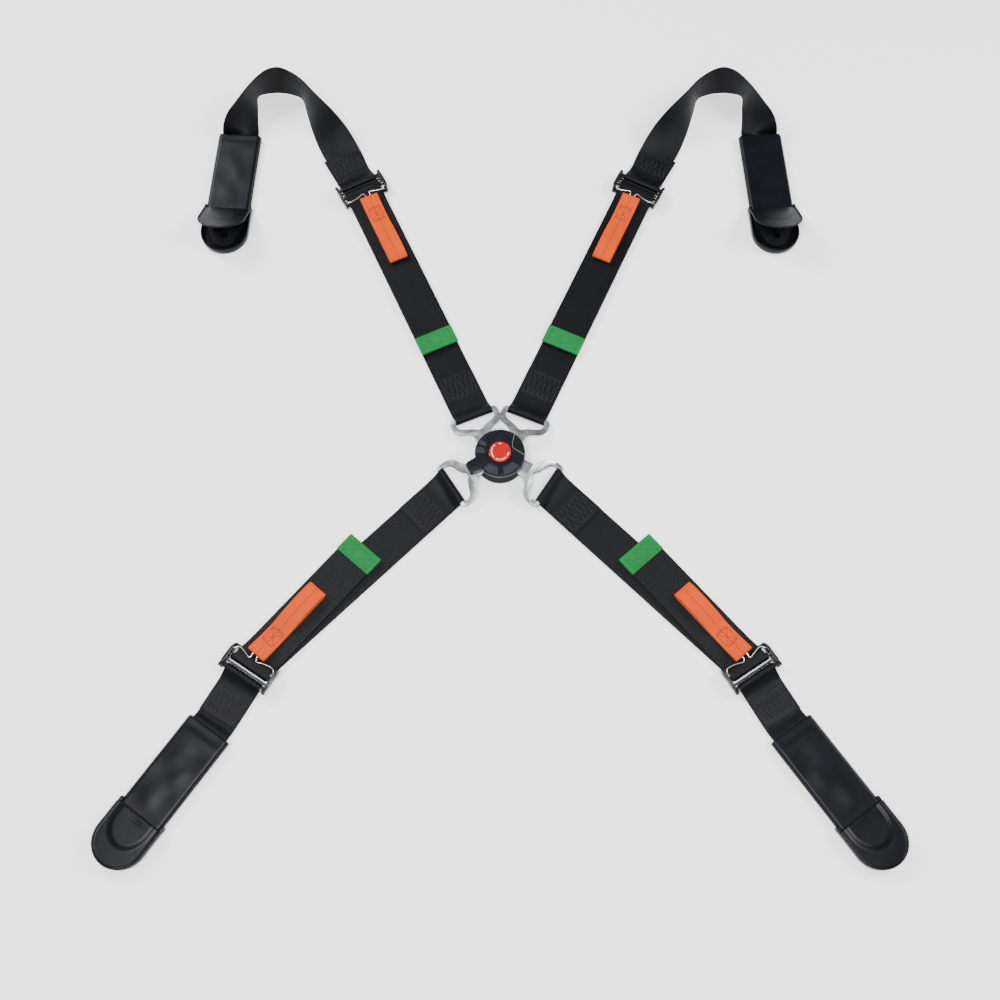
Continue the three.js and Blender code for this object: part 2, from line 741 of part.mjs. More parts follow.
/** Turning knob: a shell with sunk pockets round its top and a lever at the lower left. */
function makeKnob() {
  const { radius, knobTop, knobSkin, housingTop } = buckle;
  const bottom = housingTop + GAP;
  const profile = [
    [0, bottom], [radius - 0.6, bottom], [radius, bottom + 0.8], [radius, knobTop - 2.2],
    [radius - 1.8, knobTop - 0.4], [radius - 4, knobTop], [0, knobTop],
  ].map(([r, z]) => new THREE.Vector2(r, z));
  const body = new THREE.LatheGeometry(profile, 40).rotateX(Math.PI / 2);
  const lever = polygon([[-8.5, 22], [8.5, 22], [6.8, 43], [5.2, 44.5], [-5.2, 44.5], [-6.8, 43]]);
  const leverSolid = extrude(lever, buckle.leverBottom, knobTop - 0.8).rotateZ(-radians(buckle.leverHeading));
  const skirtCut = disc(radius + 0.2, 0, bottom, 40);
  const pocketArc = (r, turns) => turns.map((turn) => [r * Math.sin(turn), r * Math.cos(turn)]);
  const pockets = buckle.pockets.map(([heading, halfAngle]) => {
    const turns = [-1, -0.5, 0, 0.5, 1].map((share) => share * radians(halfAngle));
    const [near, far] = buckle.pocketReach;
    const wedge = polygon([...pocketArc(near, turns), ...pocketArc(far, turns.toReversed())]);
    return extrude(wedge, knobTop - buckle.pocketDepth, knobTop + 2).rotateZ(-radians(heading));
  });
  return combine(body, {
    add: [leverSolid],
    cut: [
      skirtCut,
      disc(radius - 2.8, bottom - 1, knobTop - knobSkin, 40),
      disc(buckle.buttonRadius + 0.4, 0, knobTop + 5, 28),
      ...pockets,
    ],
  });
}

function makeButton() {
  const { buttonRadius, buttonTop } = buckle;
  const profile = [
    [0, 29.4], [buttonRadius, 29.4], [buttonRadius, buttonTop - 1.2], [buttonRadius - 1.4, buttonTop - 0.2],
    [9, buttonTop], [0, buttonTop],
  ].map(([r, z]) => new THREE.Vector2(r, z));
  return combine(new THREE.LatheGeometry(profile, 28).rotateX(Math.PI / 2), {
    add: [disc(2.7, 17.5, 30, 12)],
  });
}

/** A plunger through a tongue's hole, with a head that the cam ring lifts. */
function makeLatchPin() {
  const headBottom = rotor.low + GAP;
  return combine(disc(buckle.pinRadius, tongue.bottom - 0.2, headBottom + 1.4, 16), {
    add: [disc(5.4, headBottom, headBottom + 1.4, 16)],
  });
}

/** The plain pin that the captive tongue turns on. */
function makeCaptivePin() {
  return disc(buckle.pinRadius, buckle.lowerDeck[1] + 0.05, buckle.upperDeck[1] + 1.6, 16);
}

// ---------------------------------------------------------------- assembly
const harness = new THREE.Group();

function addPiece(parent, name, geometry, material) {
  const mesh = new THREE.Mesh(geometry, MATERIALS[material]());
  mesh.name = name;
  parent.add(mesh);
  return mesh;
}

function addBuckle() {
  const group = new THREE.Group();
  addPiece(group, 'back_plate', disc(buckle.housingRadius, 0, buckle.backThick, 40), 'plateSteel');
  addPiece(group, 'housing', makeHousing(), 'casting');
  addPiece(group, 'centre_post', makePost(), 'plateSteel');
  addPiece(group, 'cam_rotor', makeRotor(), 'plateSteel');
  addPiece(group, 'return_spring', helix(12, 4.2, 9.6, 3, 0.8), 'spring');
  addPiece(group, 'release_knob', makeKnob(), 'knob');
  addPiece(group, 'push_button', makeButton(), 'button');
  addPiece(group, 'button_spring', helix(6, buckle.postHead[1] + 0.9, 28.5, 2, 0.5), 'spring');
  for (const [arm, heading] of Object.entries(PIN_HEADINGS)) {
    const captive = arm === CAPTIVE;
    const geometry = atPin(captive ? makeCaptivePin() : makeLatchPin(), heading);
    addPiece(group, `${captive ? 'captive_pin' : 'latch_pin'}_${arm}`, geometry, 'plateSteel');
  }
  harness.add(group);
}

function addArm(kindName, sideName) {
  const kind = ARM_KINDS[kindName];
  const side = sideName === kind.naturalSide ? 1 : -1;
  const arm = `${kindName}_${sideName}`;
  const group = new THREE.Group();

  const add = (piece, geometry, frame, material) => {
    const shaped = side > 0 ? geometry : mirrored(geometry);
    const mesh = addPiece(group, `${piece}_${arm}`, shaped, material);
    mesh.position.set(side * frame.x, frame.y, 0);
    mesh.rotation.z = -side * radians(frame.heading);
    return mesh;
  };

  const pin = from({ ...ORIGIN, heading: kind.pivotHeading }, 0, buckle.pivotRadius, kind.tongueHeading);
  const bar = from(pin, 0, tongue.reach, kind.beltHeading);
  const adjusterFrame = from(bar, kind.adjusterShift, kind.adjusterAt, kind.adjusterHeading);
  const bootFrame = { x: kind.bootAt[0], y: kind.bootAt[1], heading: kind.bootHeading };

  add('tongue', makeTongue(), pin, 'tongueSteel');

  const slide = within(bar, from(adjusterFrame, 0, adjuster.bar.y));
  add('belt', makeBelt(kind.tongueHeading - kind.beltHeading, slide.y, slide.turn), bar, 'webbing');
  const tailEnd = { x: kind.tailShift, y: kind.tailEnd + 1.7 };
  const tailStart = { x: slide.x, y: slide.y - 3.6, z: 1.7 };
  add('tail', makeTail(slide, tailStart, tailEnd), bar, 'webbing');
  const tailTurn = THREE.MathUtils.radToDeg(Math.atan2(slide.x - tailEnd.x, slide.y - tailEnd.y));
  const tagFrame = from(bar, kind.tailShift, kind.tailEnd, kind.beltHeading + tailTurn);
  add('tail_tag', makeTag(), tagFrame, 'greenWeb');

  add('adjuster_frame', makeAdjusterFrame(), adjusterFrame, 'blackSteel');
  add('slide_bar', makeSlideBar(), adjusterFrame, 'blackSteel');
  const eye = from(adjusterFrame, kind.pullShift, adjuster.eye.y, kind.pullHeading);
  add('bail', makeBail(within(adjusterFrame, eye)), adjusterFrame, 'wire');
  add('pull_loop', makePull().translate(0, 0, adjuster.wire.z), eye, 'orangeWeb');

  const rearMiddle = (adjuster.rearBar[0] + adjuster.rearBar[1]) / 2;
  const rearFrame = from(adjusterFrame, 0, rearMiddle);
  add('anchor_strap', makeAnchorStrap(kindName, rearFrame, bootFrame), ORIGIN, 'webbing');
  add('boot', makeBoot(), bootFrame, 'boot');
  const lidHinge = new THREE.Matrix4()
    .makeTranslation(0, boot.sleeve, boot.top)
    .multiply(new THREE.Matrix4().makeRotationX(radians(kind.lidAngle)))
    .multiply(new THREE.Matrix4().makeTranslation(0, -boot.sleeve, -boot.top));
  add('boot_flap', makeLid().applyMatrix4(lidHinge), bootFrame, 'boot');
  add('anchor_plate', makePlate(), bootFrame, 'plateSteel');
  harness.add(group);
}

addBuckle();
for (const kindName of Object.keys(ARM_KINDS)) {
  for (const sideName of ['left', 'right']) addArm(kindName, sideName);
}

export default harness;
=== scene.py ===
"""Looks of the racing harness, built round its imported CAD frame.

Lengths are in millimetres until `piece`, and in metres for the stage, the lights and the camera.
"""
import json
import math
from contextlib import contextmanager

import bmesh
import bpy
import numpy as np
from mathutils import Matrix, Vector


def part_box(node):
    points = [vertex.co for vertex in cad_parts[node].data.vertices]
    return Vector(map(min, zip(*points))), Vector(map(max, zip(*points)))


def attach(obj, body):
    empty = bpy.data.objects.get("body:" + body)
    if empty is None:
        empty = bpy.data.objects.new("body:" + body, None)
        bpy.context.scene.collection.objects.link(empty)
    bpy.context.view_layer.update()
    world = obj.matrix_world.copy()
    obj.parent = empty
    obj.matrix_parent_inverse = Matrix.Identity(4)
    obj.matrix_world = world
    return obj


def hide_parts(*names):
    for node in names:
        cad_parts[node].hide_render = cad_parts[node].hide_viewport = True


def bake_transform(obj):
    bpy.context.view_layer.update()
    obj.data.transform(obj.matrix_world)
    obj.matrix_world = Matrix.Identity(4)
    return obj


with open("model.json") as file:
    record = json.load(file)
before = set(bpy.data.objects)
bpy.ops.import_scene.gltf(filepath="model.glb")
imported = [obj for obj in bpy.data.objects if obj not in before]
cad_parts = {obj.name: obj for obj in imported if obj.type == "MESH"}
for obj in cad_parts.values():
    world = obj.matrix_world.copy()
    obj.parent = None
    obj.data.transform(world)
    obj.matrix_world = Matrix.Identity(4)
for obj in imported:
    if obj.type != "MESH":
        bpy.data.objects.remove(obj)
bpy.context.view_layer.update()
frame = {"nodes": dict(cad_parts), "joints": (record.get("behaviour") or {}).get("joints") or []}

# ------------------------------------------------------------------ driving sizes
MM = 0.001
WEB = 50.0
WEB_THICK = 1.3
LAYER = 1.6  # from one webbing layer to the next
FLOOR_RUN = 1.0  # middle of a strap that lies on the floor
BAR_HEIGHT = 5.35  # middle of a tongue's crossbar
LOOP_RADIUS = 4.5
BELT_LOW = BAR_HEIGHT - LOOP_RADIUS
SEWN_END = 66.0
BELT_BLOCK = (29.0, 63.0)  # stitched part of a belt's sewn end
STRAP_BLOCK = (22.0, 53.0)  # the same on an anchor strap
SEWN_LIFT = 0.06  # how far sewn webbing swells between its rows of stitches
TAIL_HEIGHT = 5.7
TAG = {"width": 51.0, "length": 25.0, "thick": 1.1}
PULL_WIDTH = 25.0
PULL_THICK = 1.2
PULL_FLAT = -4.15
EYE_RADIUS = 2.4
SLIDE_BAR = {"y": -2.0, "z": 6.3, "radius": 3.2}
WIRE = {"y": -10.0, "z": 11.5, "radius": 0.9}
CHEEK = {"inner": 29.4, "outer": 31.4, "top": 14.0, "half": 17.0, "lip": 34.0}
DECK = (4.6, 6.6)
MIDDLE_BAR = (4.6, 6.8)
REAR_BAR = (9.0, 15.0)
BOOT = {"sleeve": 122.0, "length": 187.0, "half": 29.0, "tray": 32.0, "low": 0.3, "top": 10.1, "skin": 1.7}
PLATE_NEAR = 122.0
PLATE_MIDDLE = 5.2
PLATE_THICK = 2.5
KNOB = {"radius": 31.4, "low": 21.8, "top": 30.5, "button": 14.1}
BUTTON = {"radius": 13.7, "low": 29.4, "top": 33.5}
LEVER_HEADING = -117.0
GAP = 0.3  # clearance between neighbouring pieces
SEWN_DEPTH = 0.55  # how far a row of stitches pulls the cloth down from its swell
STITCH_SINK = 0.12  # how far a stitch is sunk into the cloth
LID_ANGLE = {"shoulder": 34.0, "lap": 0.0}  # how far the lids stand open, in degrees
LID_DOME = {"shoulder": 0.5, "lap": 1.9}
LID_CREASE = {"shoulder": 0.0, "lap": -0.7}
DENT_SPREAD = {"shoulder": -0.6, "lap": 1}  # scales where the sleeve's dents lie across it
DENT_DEPTH = {"shoulder": 0.45, "lap": 0.8}
DENTS = [  # x, y, depth, reach across, reach along
    (0, 8, -0.9, 60, 5), (0, 17, 0.5, 26, 6), (-9, 34, -0.8, 14, 12), (8, 47, 0.7, 12, 14),
    (-8, 62, 0.8, 10, 12), (12, 72, -0.7, 14, 10), (-10, 88, -0.6, 12, 12), (4, 98, 0.9, 12, 14),
    (0, 116, -0.5, 30, 6),
]
LOOP_START = (219.0, 452.0)
SHOULDER_LOOP = [  # inner edge x, y on the floor; outer edge x, y, z
    (238, 441, 196, 467, 5), (252, 469, 213, 489, 24), (264, 500, 233, 508, 39),
    (273, 530, 257, 529, 47), (281, 554, 275, 549, 50), (296, 562, 294, 563, 50.5),
    (313, 565, 311, 569, 50.5), (330, 564, 328, 562, 50.5), (344, 558, 347, 542, 47.5),
    (343, 537, 362, 521, 43.5), (341, 512, 378, 504, 33), (339, 496, 385, 493, 19),
]
POCKETS = [(-83, 10.5), (-60.5, 8.0), (-152, 25.0), (148, 24.0)]  # heading, half angle
POCKET_DEPTH = 1.2
PANEL = (38.0, 64.0, 95.0, 17.0)  # near heading, vertex heading, far heading, vertex radius
RING_MARKS = [  # first and last heading of each white mark on the button
    (-135, -62), (-52, -38), (-8, 10), (98, 122), (134, 150), (155, 166), (172, 180), (-172, -152),
]
FLOOR = -0.0006  # metres, just under the lowest piece
ARM_NAMES = ("shoulder_left", "shoulder_right", "lap_left", "lap_right")
JOINTS = {joint["name"]: joint for joint in frame["joints"]}


# ------------------------------------------------------------------ frames of the arms
class Place:
    """A spot on the floor with a heading, clockwise from +Y; x is to its right, or its left when mirrored."""

    def __init__(self, x, y, heading, side):
        self.x, self.y, self.heading, self.side = x, y, heading, side

    def world(self, points):
        points = np.array(points, float).reshape(-1, 3)
        x, y = points[:, 0] * self.side, points[:, 1]
        c, s = math.cos(self.heading), math.sin(self.heading)
        return np.stack([self.x + x * c + y * s, self.y - x * s + y * c, points[:, 2]], 1)

    def local(self, x, y):
        dx, dy = x - self.x, y - self.y
        c, s = math.cos(self.heading), math.sin(self.heading)
        return self.side * (dx * c - dy * s), dx * s + dy * c

    def ahead(self, y):
        spot = self.world([(0, y, 0)])[0]
        return Place(spot[0], spot[1], self.heading, self.side)


def spot_of(joint, heading, side):
    x, y, _ = JOINTS[joint]["pos_m"]
    return Place(x / MM, y / MM, heading, side)


def heading_along(joint):
    x, y, _ = JOINTS[joint]["axis"]
    return math.atan2(x, y)


def heading_across(joint, sign=1):
    x, y, _ = JOINTS[joint]["axis"]
    return math.atan2(-sign * y, sign * x)


class Arm:
    """The places of one arm's pieces, read from its joints."""

    def __init__(self, name):
        self.name = name
        self.kind, sidename = name.split("_")
        natural = {"shoulder": "right", "lap": "left"}[self.kind]
        side = 1 if sidename == natural else -1
        self.side = side
        self.tongue = spot_of(f"tongue_swivel_{name}", heading_across(f"belt_lift_{name}"), side)
        self.belt = spot_of(f"belt_lift_{name}", heading_along(f"adjust_{name}"), side)
        wire = spot_of(f"bail_swing_{name}", heading_along(f"bar_float_{name}"), side)
        self.adjuster = wire.ahead(-WIRE["y"])
        self.rear = spot_of(f"anchor_fold_{name}", self.adjuster.heading, side)
        self.pull = spot_of(f"pull_swing_{name}", heading_across(f"pull_swing_{name}", -1), side)
        hinge = spot_of(f"flap_open_{name}", heading_across(f"flap_open_{name}"), side)
        self.boot = hinge.ahead(-BOOT["sleeve"])
        self.tail_heading = heading_along(f"tail_run_{name}")
        self.room = Place(0, 0, 0, side)


# ------------------------------------------------------------------ mesh making
def smooth_path(rows, spacing, closed=False):
    """A centripetal Catmull-Rom curve through rows of numbers, with a sample about every `spacing`."""
    rows = np.array(rows, float)
    if closed:
        rows = np.vstack([rows[-1:], rows, rows[:2]])
    else:
        rows = np.vstack([2 * rows[0] - rows[1], rows, 2 * rows[-1] - rows[-2]])
    gaps = np.linalg.norm(np.diff(rows[:, :3], axis=0), axis=1)
    knots = np.concatenate([[0], np.cumsum(np.sqrt(np.maximum(gaps, 1e-6)))])
    out = []
    for i in range(1, len(rows) - 2):
        p0, p1, p2, p3 = rows[i - 1:i + 3]
        t0, t1, t2, t3 = knots[i - 1:i + 3]
        count = max(1, math.ceil(gaps[i] / spacing))
        for t in np.linspace(t1, t2, count, endpoint=False):
            a = ((t1 - t) * p0 + (t - t0) * p1) / (t1 - t0)
            b = ((t2 - t) * p1 + (t - t1) * p2) / (t2 - t1)
            c = ((t3 - t) * p2 + (t - t2) * p3) / (t3 - t2)
            d = ((t2 - t) * a + (t - t0) * b) / (t2 - t0)
            e = ((t3 - t) * b + (t - t1) * c) / (t3 - t1)
            out.append(((t2 - t) * d + (t - t1) * e) / (t2 - t1))
    if not closed:
        out.append(rows[-2])
    return np.array(out)


def unit(vectors):
    return vectors / np.maximum(np.linalg.norm(vectors, axis=-1, keepdims=True), 1e-9)


def smoothstep(low, high, value):
    t = np.clip((value - low) / (high - low), 0, 1)
    return t * t * (3 - 2 * t)


class Shape:
    """Vertices and faces of one piece, with each vertex's place in the cloth and each face's material."""

    def __init__(self):
        self.vertices, self.cloth, self.faces, self.paint = [], [], [], []
        self.count = 0

    def add(self, vertices, faces, cloth=None, paint=0):
        vertices = np.array(vertices, float).reshape(-1, 3)
        self.vertices.append(vertices)
        self.cloth.append(np.zeros((len(vertices), 3)) if cloth is None else np.array(cloth, float))
        self.faces += [tuple(i + self.count for i in face) for face in faces]
        self.paint += list(paint) if hasattr(paint, "__len__") else [paint] * len(faces)
        self.count += len(vertices)
        return self

    def rings(self, rings, caps=True, cloth=None, paint=0):
        """Rings of points joined into a tube."""
        rings = np.array(rings, float)
        rows, sides = rings.shape[:2]
        faces = []
        for i in range(rows - 1):
            for k in range(sides):
                a, b = i * sides + k, i * sides + (k + 1) % sides
                faces.append((a, b, b + sides, a + sides))
        if caps:
            faces.append(tuple(range(sides))[::-1])
            faces.append(tuple((rows - 1) * sides + k for k in range(sides)))
        cloth = None if cloth is None else np.array(cloth, float).reshape(-1, 3)
        return self.add(rings.reshape(-1, 3), faces, cloth, paint)

    def mesh(self, mesh, turn=None, edge=0):
        """Adds a Blender mesh's faces; the steep ones get the material numbered `edge`."""
        vertices = np.array([v.co for v in mesh.vertices])
        if turn is not None:
            vertices = turn(vertices)
        paint = [edge if abs(p.normal.z) < 0.8 else 0 for p in mesh.polygons]
        return self.add(vertices, [tuple(p.vertices) for p in mesh.polygons], paint=paint)


def add_object(name, data):
    made = bpy.data.objects.new(name, data)
    bpy.context.scene.collection.objects.link(made)
    return made


@contextmanager
def edited(mesh):
    """Opens a mesh for bmesh operations and writes it back."""
    work = bmesh.new()
    work.from_mesh(mesh)
    yield work
    work.to_mesh(mesh)
    work.free()


def piece(name, shape, place, body, materials, replaced=(), sharp=40):
    """Makes the Blender object of a shape, in metres, on its CAD body."""
    vertices = place.world(np.vstack(shape.vertices)) * MM
    mesh = bpy.data.meshes.new(name)
    mesh.from_pydata(vertices.tolist(), [], shape.faces)
    cloth = mesh.attributes.new("cloth", "FLOAT_VECTOR", "POINT")
    cloth.data.foreach_set("vector", np.vstack(shape.cloth).astype(np.float32).ravel())
    materials = materials if isinstance(materials, (list, tuple)) else [materials]
    for material in materials:
        mesh.materials.append(material)
    mesh.polygons.foreach_set("material_index", shape.paint)
    with edited(mesh) as work:
        bmesh.ops.recalc_face_normals(work, faces=work.faces)
    mesh.shade_smooth()
    mesh.set_sharp_from_angle(angle=math.radians(sharp))
    made = add_object(name, mesh)
    if body:
        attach(made, body)
    if replaced:
        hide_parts(*replaced)
    return made


def flat_plate(outline, holes, low, high, bevel):
    """A plate with rounded edges, from an outline and holes in the x-y plane, as a Blender mesh."""
    curve = bpy.data.curves.new("outline", "CURVE")
    curve.dimensions = "2D"
    curve.fill_mode = "BOTH"
    curve.extrude = (high - low) / 2 - bevel
    curve.bevel_depth = bevel
    curve.bevel_resolution = 2
    curve.offset = -bevel
    for loop in (outline, *holes):
        spline = curve.splines.new("POLY")
        spline.points.add(len(loop) - 1)
        for point, (x, y) in zip(spline.points, loop):
            point.co = (x, y, 0, 1)
        spline.use_cyclic_u = True
    holder = add_object("outline", curve)
    ready = holder.evaluated_get(bpy.context.evaluated_depsgraph_get())
    mesh = bpy.data.meshes.new_from_object(ready)
    bpy.data.objects.remove(holder)
    bpy.data.curves.remove(curve)
    with edited(mesh) as work:
        bmesh.ops.remove_doubles(work, verts=work.verts, dist=1e-4)
        bmesh.ops.translate(work, verts=work.verts, vec=(0, 0, (low + high) / 2))
    return mesh


def circle(x, y, radius, count=32):
    angles = np.radians(np.linspace(0.0, 360.0, count, endpoint=False))
    return [(x + radius * math.cos(a), y + radius * math.sin(a)) for a in angles]


def rounded(x0, x1, y0, y1, radius, count=5):
    """A rectangle with round corners."""
    corners = [(x1 - radius, y0 + radius, -90), (x1 - radius, y1 - radius, 0),
               (x0 + radius, y1 - radius, 90), (x0 + radius, y0 + radius, 180)]
    points = []
    for x, y, start in corners:
        for a in np.radians(np.linspace(start, start + 90, count)):
            points.append((x + radius * math.cos(a), y + radius * math.sin(a)))
    return points


def tube(points, radius, spacing=1.0, sides=12):
    """Rings of a round wire along a smooth curve."""
    path = smooth_path(points, spacing)
    tangent = unit(np.gradient(path, axis=0))
    normal = np.cross(tangent[0], (0, 0, 1))
    if np.linalg.norm(normal) < 1e-3:
        normal = np.array([1.0, 0, 0])
    rings = []
    for centre, along in zip(path, tangent):
        normal = unit(normal - along * np.dot(normal, along))
        other = np.cross(along, normal)
        angles = np.linspace(0, 2 * math.pi, sides, endpoint=False)
        rings.append([centre + radius * (math.cos(a) * normal + math.sin(a) * other) for a in angles])
    return rings


def turn_flat(points, angle):
    """Points turned clockwise about the Z axis."""
    points = np.array(points, float)
    x, y, z = points.T
    c, s = math.cos(angle), math.sin(angle)
    return np.stack([x * c + y * s, y * c - x * s, z], 1)


def round_rim(radius, middle, curve, step):
    """Profile of a disc's rounded top edge, of radius `curve` about the height `middle`."""
    angles = np.radians(np.arange(10, 91, step))
    return [(radius - curve + curve * math.sin(a), middle + curve * math.cos(a)) for a in angles]


def lathe(profile, steps):
    """Rings round the Z axis, one for each (radius, height)."""
    angles = np.linspace(0, 2 * math.pi, steps, endpoint=False)
    return [[(r * math.sin(a), r * math.cos(a), z) for a in angles] for r, z in profile]


# ------------------------------------------------------------------ webbing and thread
def arc(y, z, radius, start, end, steps, across):
    """Stations on an arc in the y-z plane, in degrees from +y towards +z."""
    angles = np.radians(np.linspace(start, end, steps + 1))
    return [(0, y + radius * math.cos(a), z + radius * math.sin(a), *across) for a in angles]


def band(shape, stations, thick, spacing=1.6, columns=28, relief=None):
    """A strap with rounded selvedges through stations of middle and half width vector."""
    path = smooth_path(stations, spacing)
    middle, half = path[:, :3], path[:, 3:]
    tangent = unit(np.gradient(middle, axis=0))
    normal = unit(np.cross(half, tangent))
    along = np.concatenate([[0], np.cumsum(np.linalg.norm(np.diff(middle, axis=0), axis=1))])
    width = np.linalg.norm(stations[0][3:])
    h = thick / 2
    flat = np.linspace(-(width - h), width - h, columns + 1)
    edge = np.radians([60, 25, -25, -60])
    side = [(width - h + h * math.cos(a), h * math.sin(a)) for a in edge]
    top = [(x, h) for x in flat]
    section = top + side + [(-x, -z) for x, z in top] + [(-x, -z) for x, z in side]
    rings, cloth = [], []
    for c, a, n, v in zip(middle, half, normal, along):
        ring, spot = [], []
        for x, z in section:
            lift = relief(x, v, c) if relief and z == h else 0.0
            ring.append(c + a * (x / width) + n * (z + lift))
            spot.append((x, v, lift))
        rings.append(ring)
        cloth.append(spot)
    shape.rings(rings, cloth=cloth)
    return path


def row_points(line, pitch):
    """Middles and directions of the stitches along a line of (x, y) points."""
    spots = []
    for (x0, y0), (x1, y1) in zip(line, line[1:]):
        length = math.hypot(x1 - x0, y1 - y0)
        count = max(1, round(length / pitch))
        for k in range(count):
            t = (k + 0.5) / count
            spots.append((x0 + (x1 - x0) * t, y0 + (y1 - y0) * t, math.atan2(y1 - y0, x1 - x0)))
    return spots


def stitches(lines, height, pitch=3.2, length=2.6, radius=0.34, turn=0.0):
    """A shape of sewn stitches, turned about Z; `height` gives the cloth's z at (x, y)."""
    shape = Shape()
    sides = 6
    for line in lines:
        for x, y, heading in row_points(line, pitch):
            rings = []
            for t in np.linspace(-1, 1, 7):
                px = x + math.cos(heading) * t * length / 2
                py = y + math.sin(heading) * t * length / 2
                pz = height(px, py) + radius * (0.75 - 1.35 * t * t)
                r = radius * (1 - 0.45 * t * t)
                ring = []
                for a in np.linspace(0, 2 * math.pi, sides, endpoint=False):
                    out = r * math.cos(a)
                    x_out, y_out = -math.sin(heading) * out, math.cos(heading) * out
                    ring.append((px + x_out, py + y_out, pz + r * math.sin(a)))
                rings.append(turn_flat(ring, turn) if turn else ring)
            shape.rings(rings)
    return shape


def lattice(x0, x1, y0, y1, crossings):
    """Sewing lines of a box filled with crossed zigzags, with its two ends sewn twice."""
    xs = np.linspace(x0, x1, crossings + 1)
    rise = [(x, y0 if i % 2 == 0 else y1) for i, x in enumerate(xs)]
    fall = [(x, y1 if i % 2 == 0 else y0) for i, x in enumerate(xs)]
    box = [(x0, y0), (x1, y0), (x1, y1), (x0, y1), (x0, y0)]
    ends = [[(x0, y0 - 2.6), (x1, y0 - 2.6)], [(x0, y1 + 2.2), (x1, y1 + 2.2)]]
    return [rise, fall, box, *ends]


def nearness(lines, x, y, reach=2.4):
    """1 on a sewing line, falling to 0 at `reach` from it."""
    best = reach
    for line in lines:
        for (x0, y0), (x1, y1) in zip(line, line[1:]):
            dx, dy = x1 - x0, y1 - y0
            t = min(1.0, max(0.0, ((x - x0) * dx + (y - y0) * dy) / (dx * dx + dy * dy)))
            best = min(best, math.hypot(x - x0 - dx * t, y - y0 - dy * t))
    return (1 - best / reach) ** 2


# ------------------------------------------------------------------ materials
class Nodes:
    """Shorthand for building a material's nodes."""

    def __init__(self, name, color, roughness, metallic=0.0, **sockets):
        self.material = bpy.data.materials.new(name)
        self.material.use_nodes = True
        self.tree = self.material.node_tree
        self.shader = self.tree.nodes["Principled BSDF"]
        self.shader.inputs["Base Color"].default_value = (*color, 1)
        self.shader.inputs["Roughness"].default_value = roughness
        self.shader.inputs["Metallic"].default_value = metallic
        for socket, value in sockets.items():
            self.shader.inputs[socket.replace("_", " ")].default_value = value

    def feed(self, socket, value):
        """Links a socket to another one, or gives it a fixed value."""
        if isinstance(value, bpy.types.NodeSocket):
            self.tree.links.new(value, socket)
        else:
            socket.default_value = value

    def node(self, kind, **inputs):
        made = self.tree.nodes.new(kind)
        for key, value in inputs.items():
            self.feed(made.inputs[key.replace("_", " ")], value)
        return made

    def math(self, operation, a, b=0.0):
        made = self.tree.nodes.new("ShaderNodeMath")
        made.operation = operation
        for socket, value in zip(made.inputs, (a, b)):
            self.feed(socket, value)
        return made.outputs[0]

    def add(self, a, b):
        return self.math("ADD", a, b)

    def times(self, a, b):
        return self.math("MULTIPLY", a, b)

    def clamp(self, value, top):
        return self.math("MINIMUM", self.math("MAXIMUM", value, 0.0), top)

    def cloth(self):
        """The across, along and relief of the cloth, in millimetres."""
        made = self.tree.nodes.new("ShaderNodeAttribute")
        made.attribute_name = "cloth"
        parts = self.node("ShaderNodeSeparateXYZ", Vector=made.outputs["Vector"])
        return parts.outputs

    def noise(self, scale, detail=3.0, roughness=0.6, stretch=None):
        coordinates = self.tree.nodes.new("ShaderNodeTexCoord").outputs["Object"]
        if stretch:
            mapping = self.tree.nodes.new("ShaderNodeMapping")
            self.tree.links.new(coordinates, mapping.inputs["Vector"])
            mapping.inputs["Scale"].default_value = stretch
            coordinates = mapping.outputs["Vector"]
        made = self.node("ShaderNodeTexNoise", Vector=coordinates, Scale=scale, Detail=detail,
                         Roughness=roughness)
        return made.outputs["Fac"]

    def ramp(self, value, *stops):
        made = self.tree.nodes.new("ShaderNodeValToRGB")
        self.tree.links.new(value, made.inputs["Fac"])
        elements = made.color_ramp.elements
        while len(elements) < len(stops):
            elements.new(0.5)
        for element, (position, color) in zip(elements, stops):
            element.position = position
            element.color = (*color, 1) if len(color) == 3 else color
        return made.outputs["Color"]

    def between(self, value, low, high):
        made = self.node("ShaderNodeMapRange", Value=value, To_Min=low, To_Max=high)
        return made.outputs[0]

    def mix(self, share, a, b):
        made = self.tree.nodes.new("ShaderNodeMix")
        made.data_type = "RGBA"
        sockets = (made.inputs[0], made.inputs[6], made.inputs[7])
        for socket, value in zip(sockets, (share, a, b)):
            self.feed(socket, (*value, 1) if isinstance(value, tuple) else value)
        return made.outputs[2]

    def link(self, value, socket):
        self.tree.links.new(value, self.shader.inputs[socket])
        return self

    def bump(self, height, distance, strength=1.0):
        made = self.node("ShaderNodeBump", Height=height, Distance=distance, Strength=strength)
        self.tree.links.new(made.outputs["Normal"], self.shader.inputs["Normal"])
        return self.material


def tinted(color, factor, lift=0.0):
    return tuple(c * factor + lift for c in color)


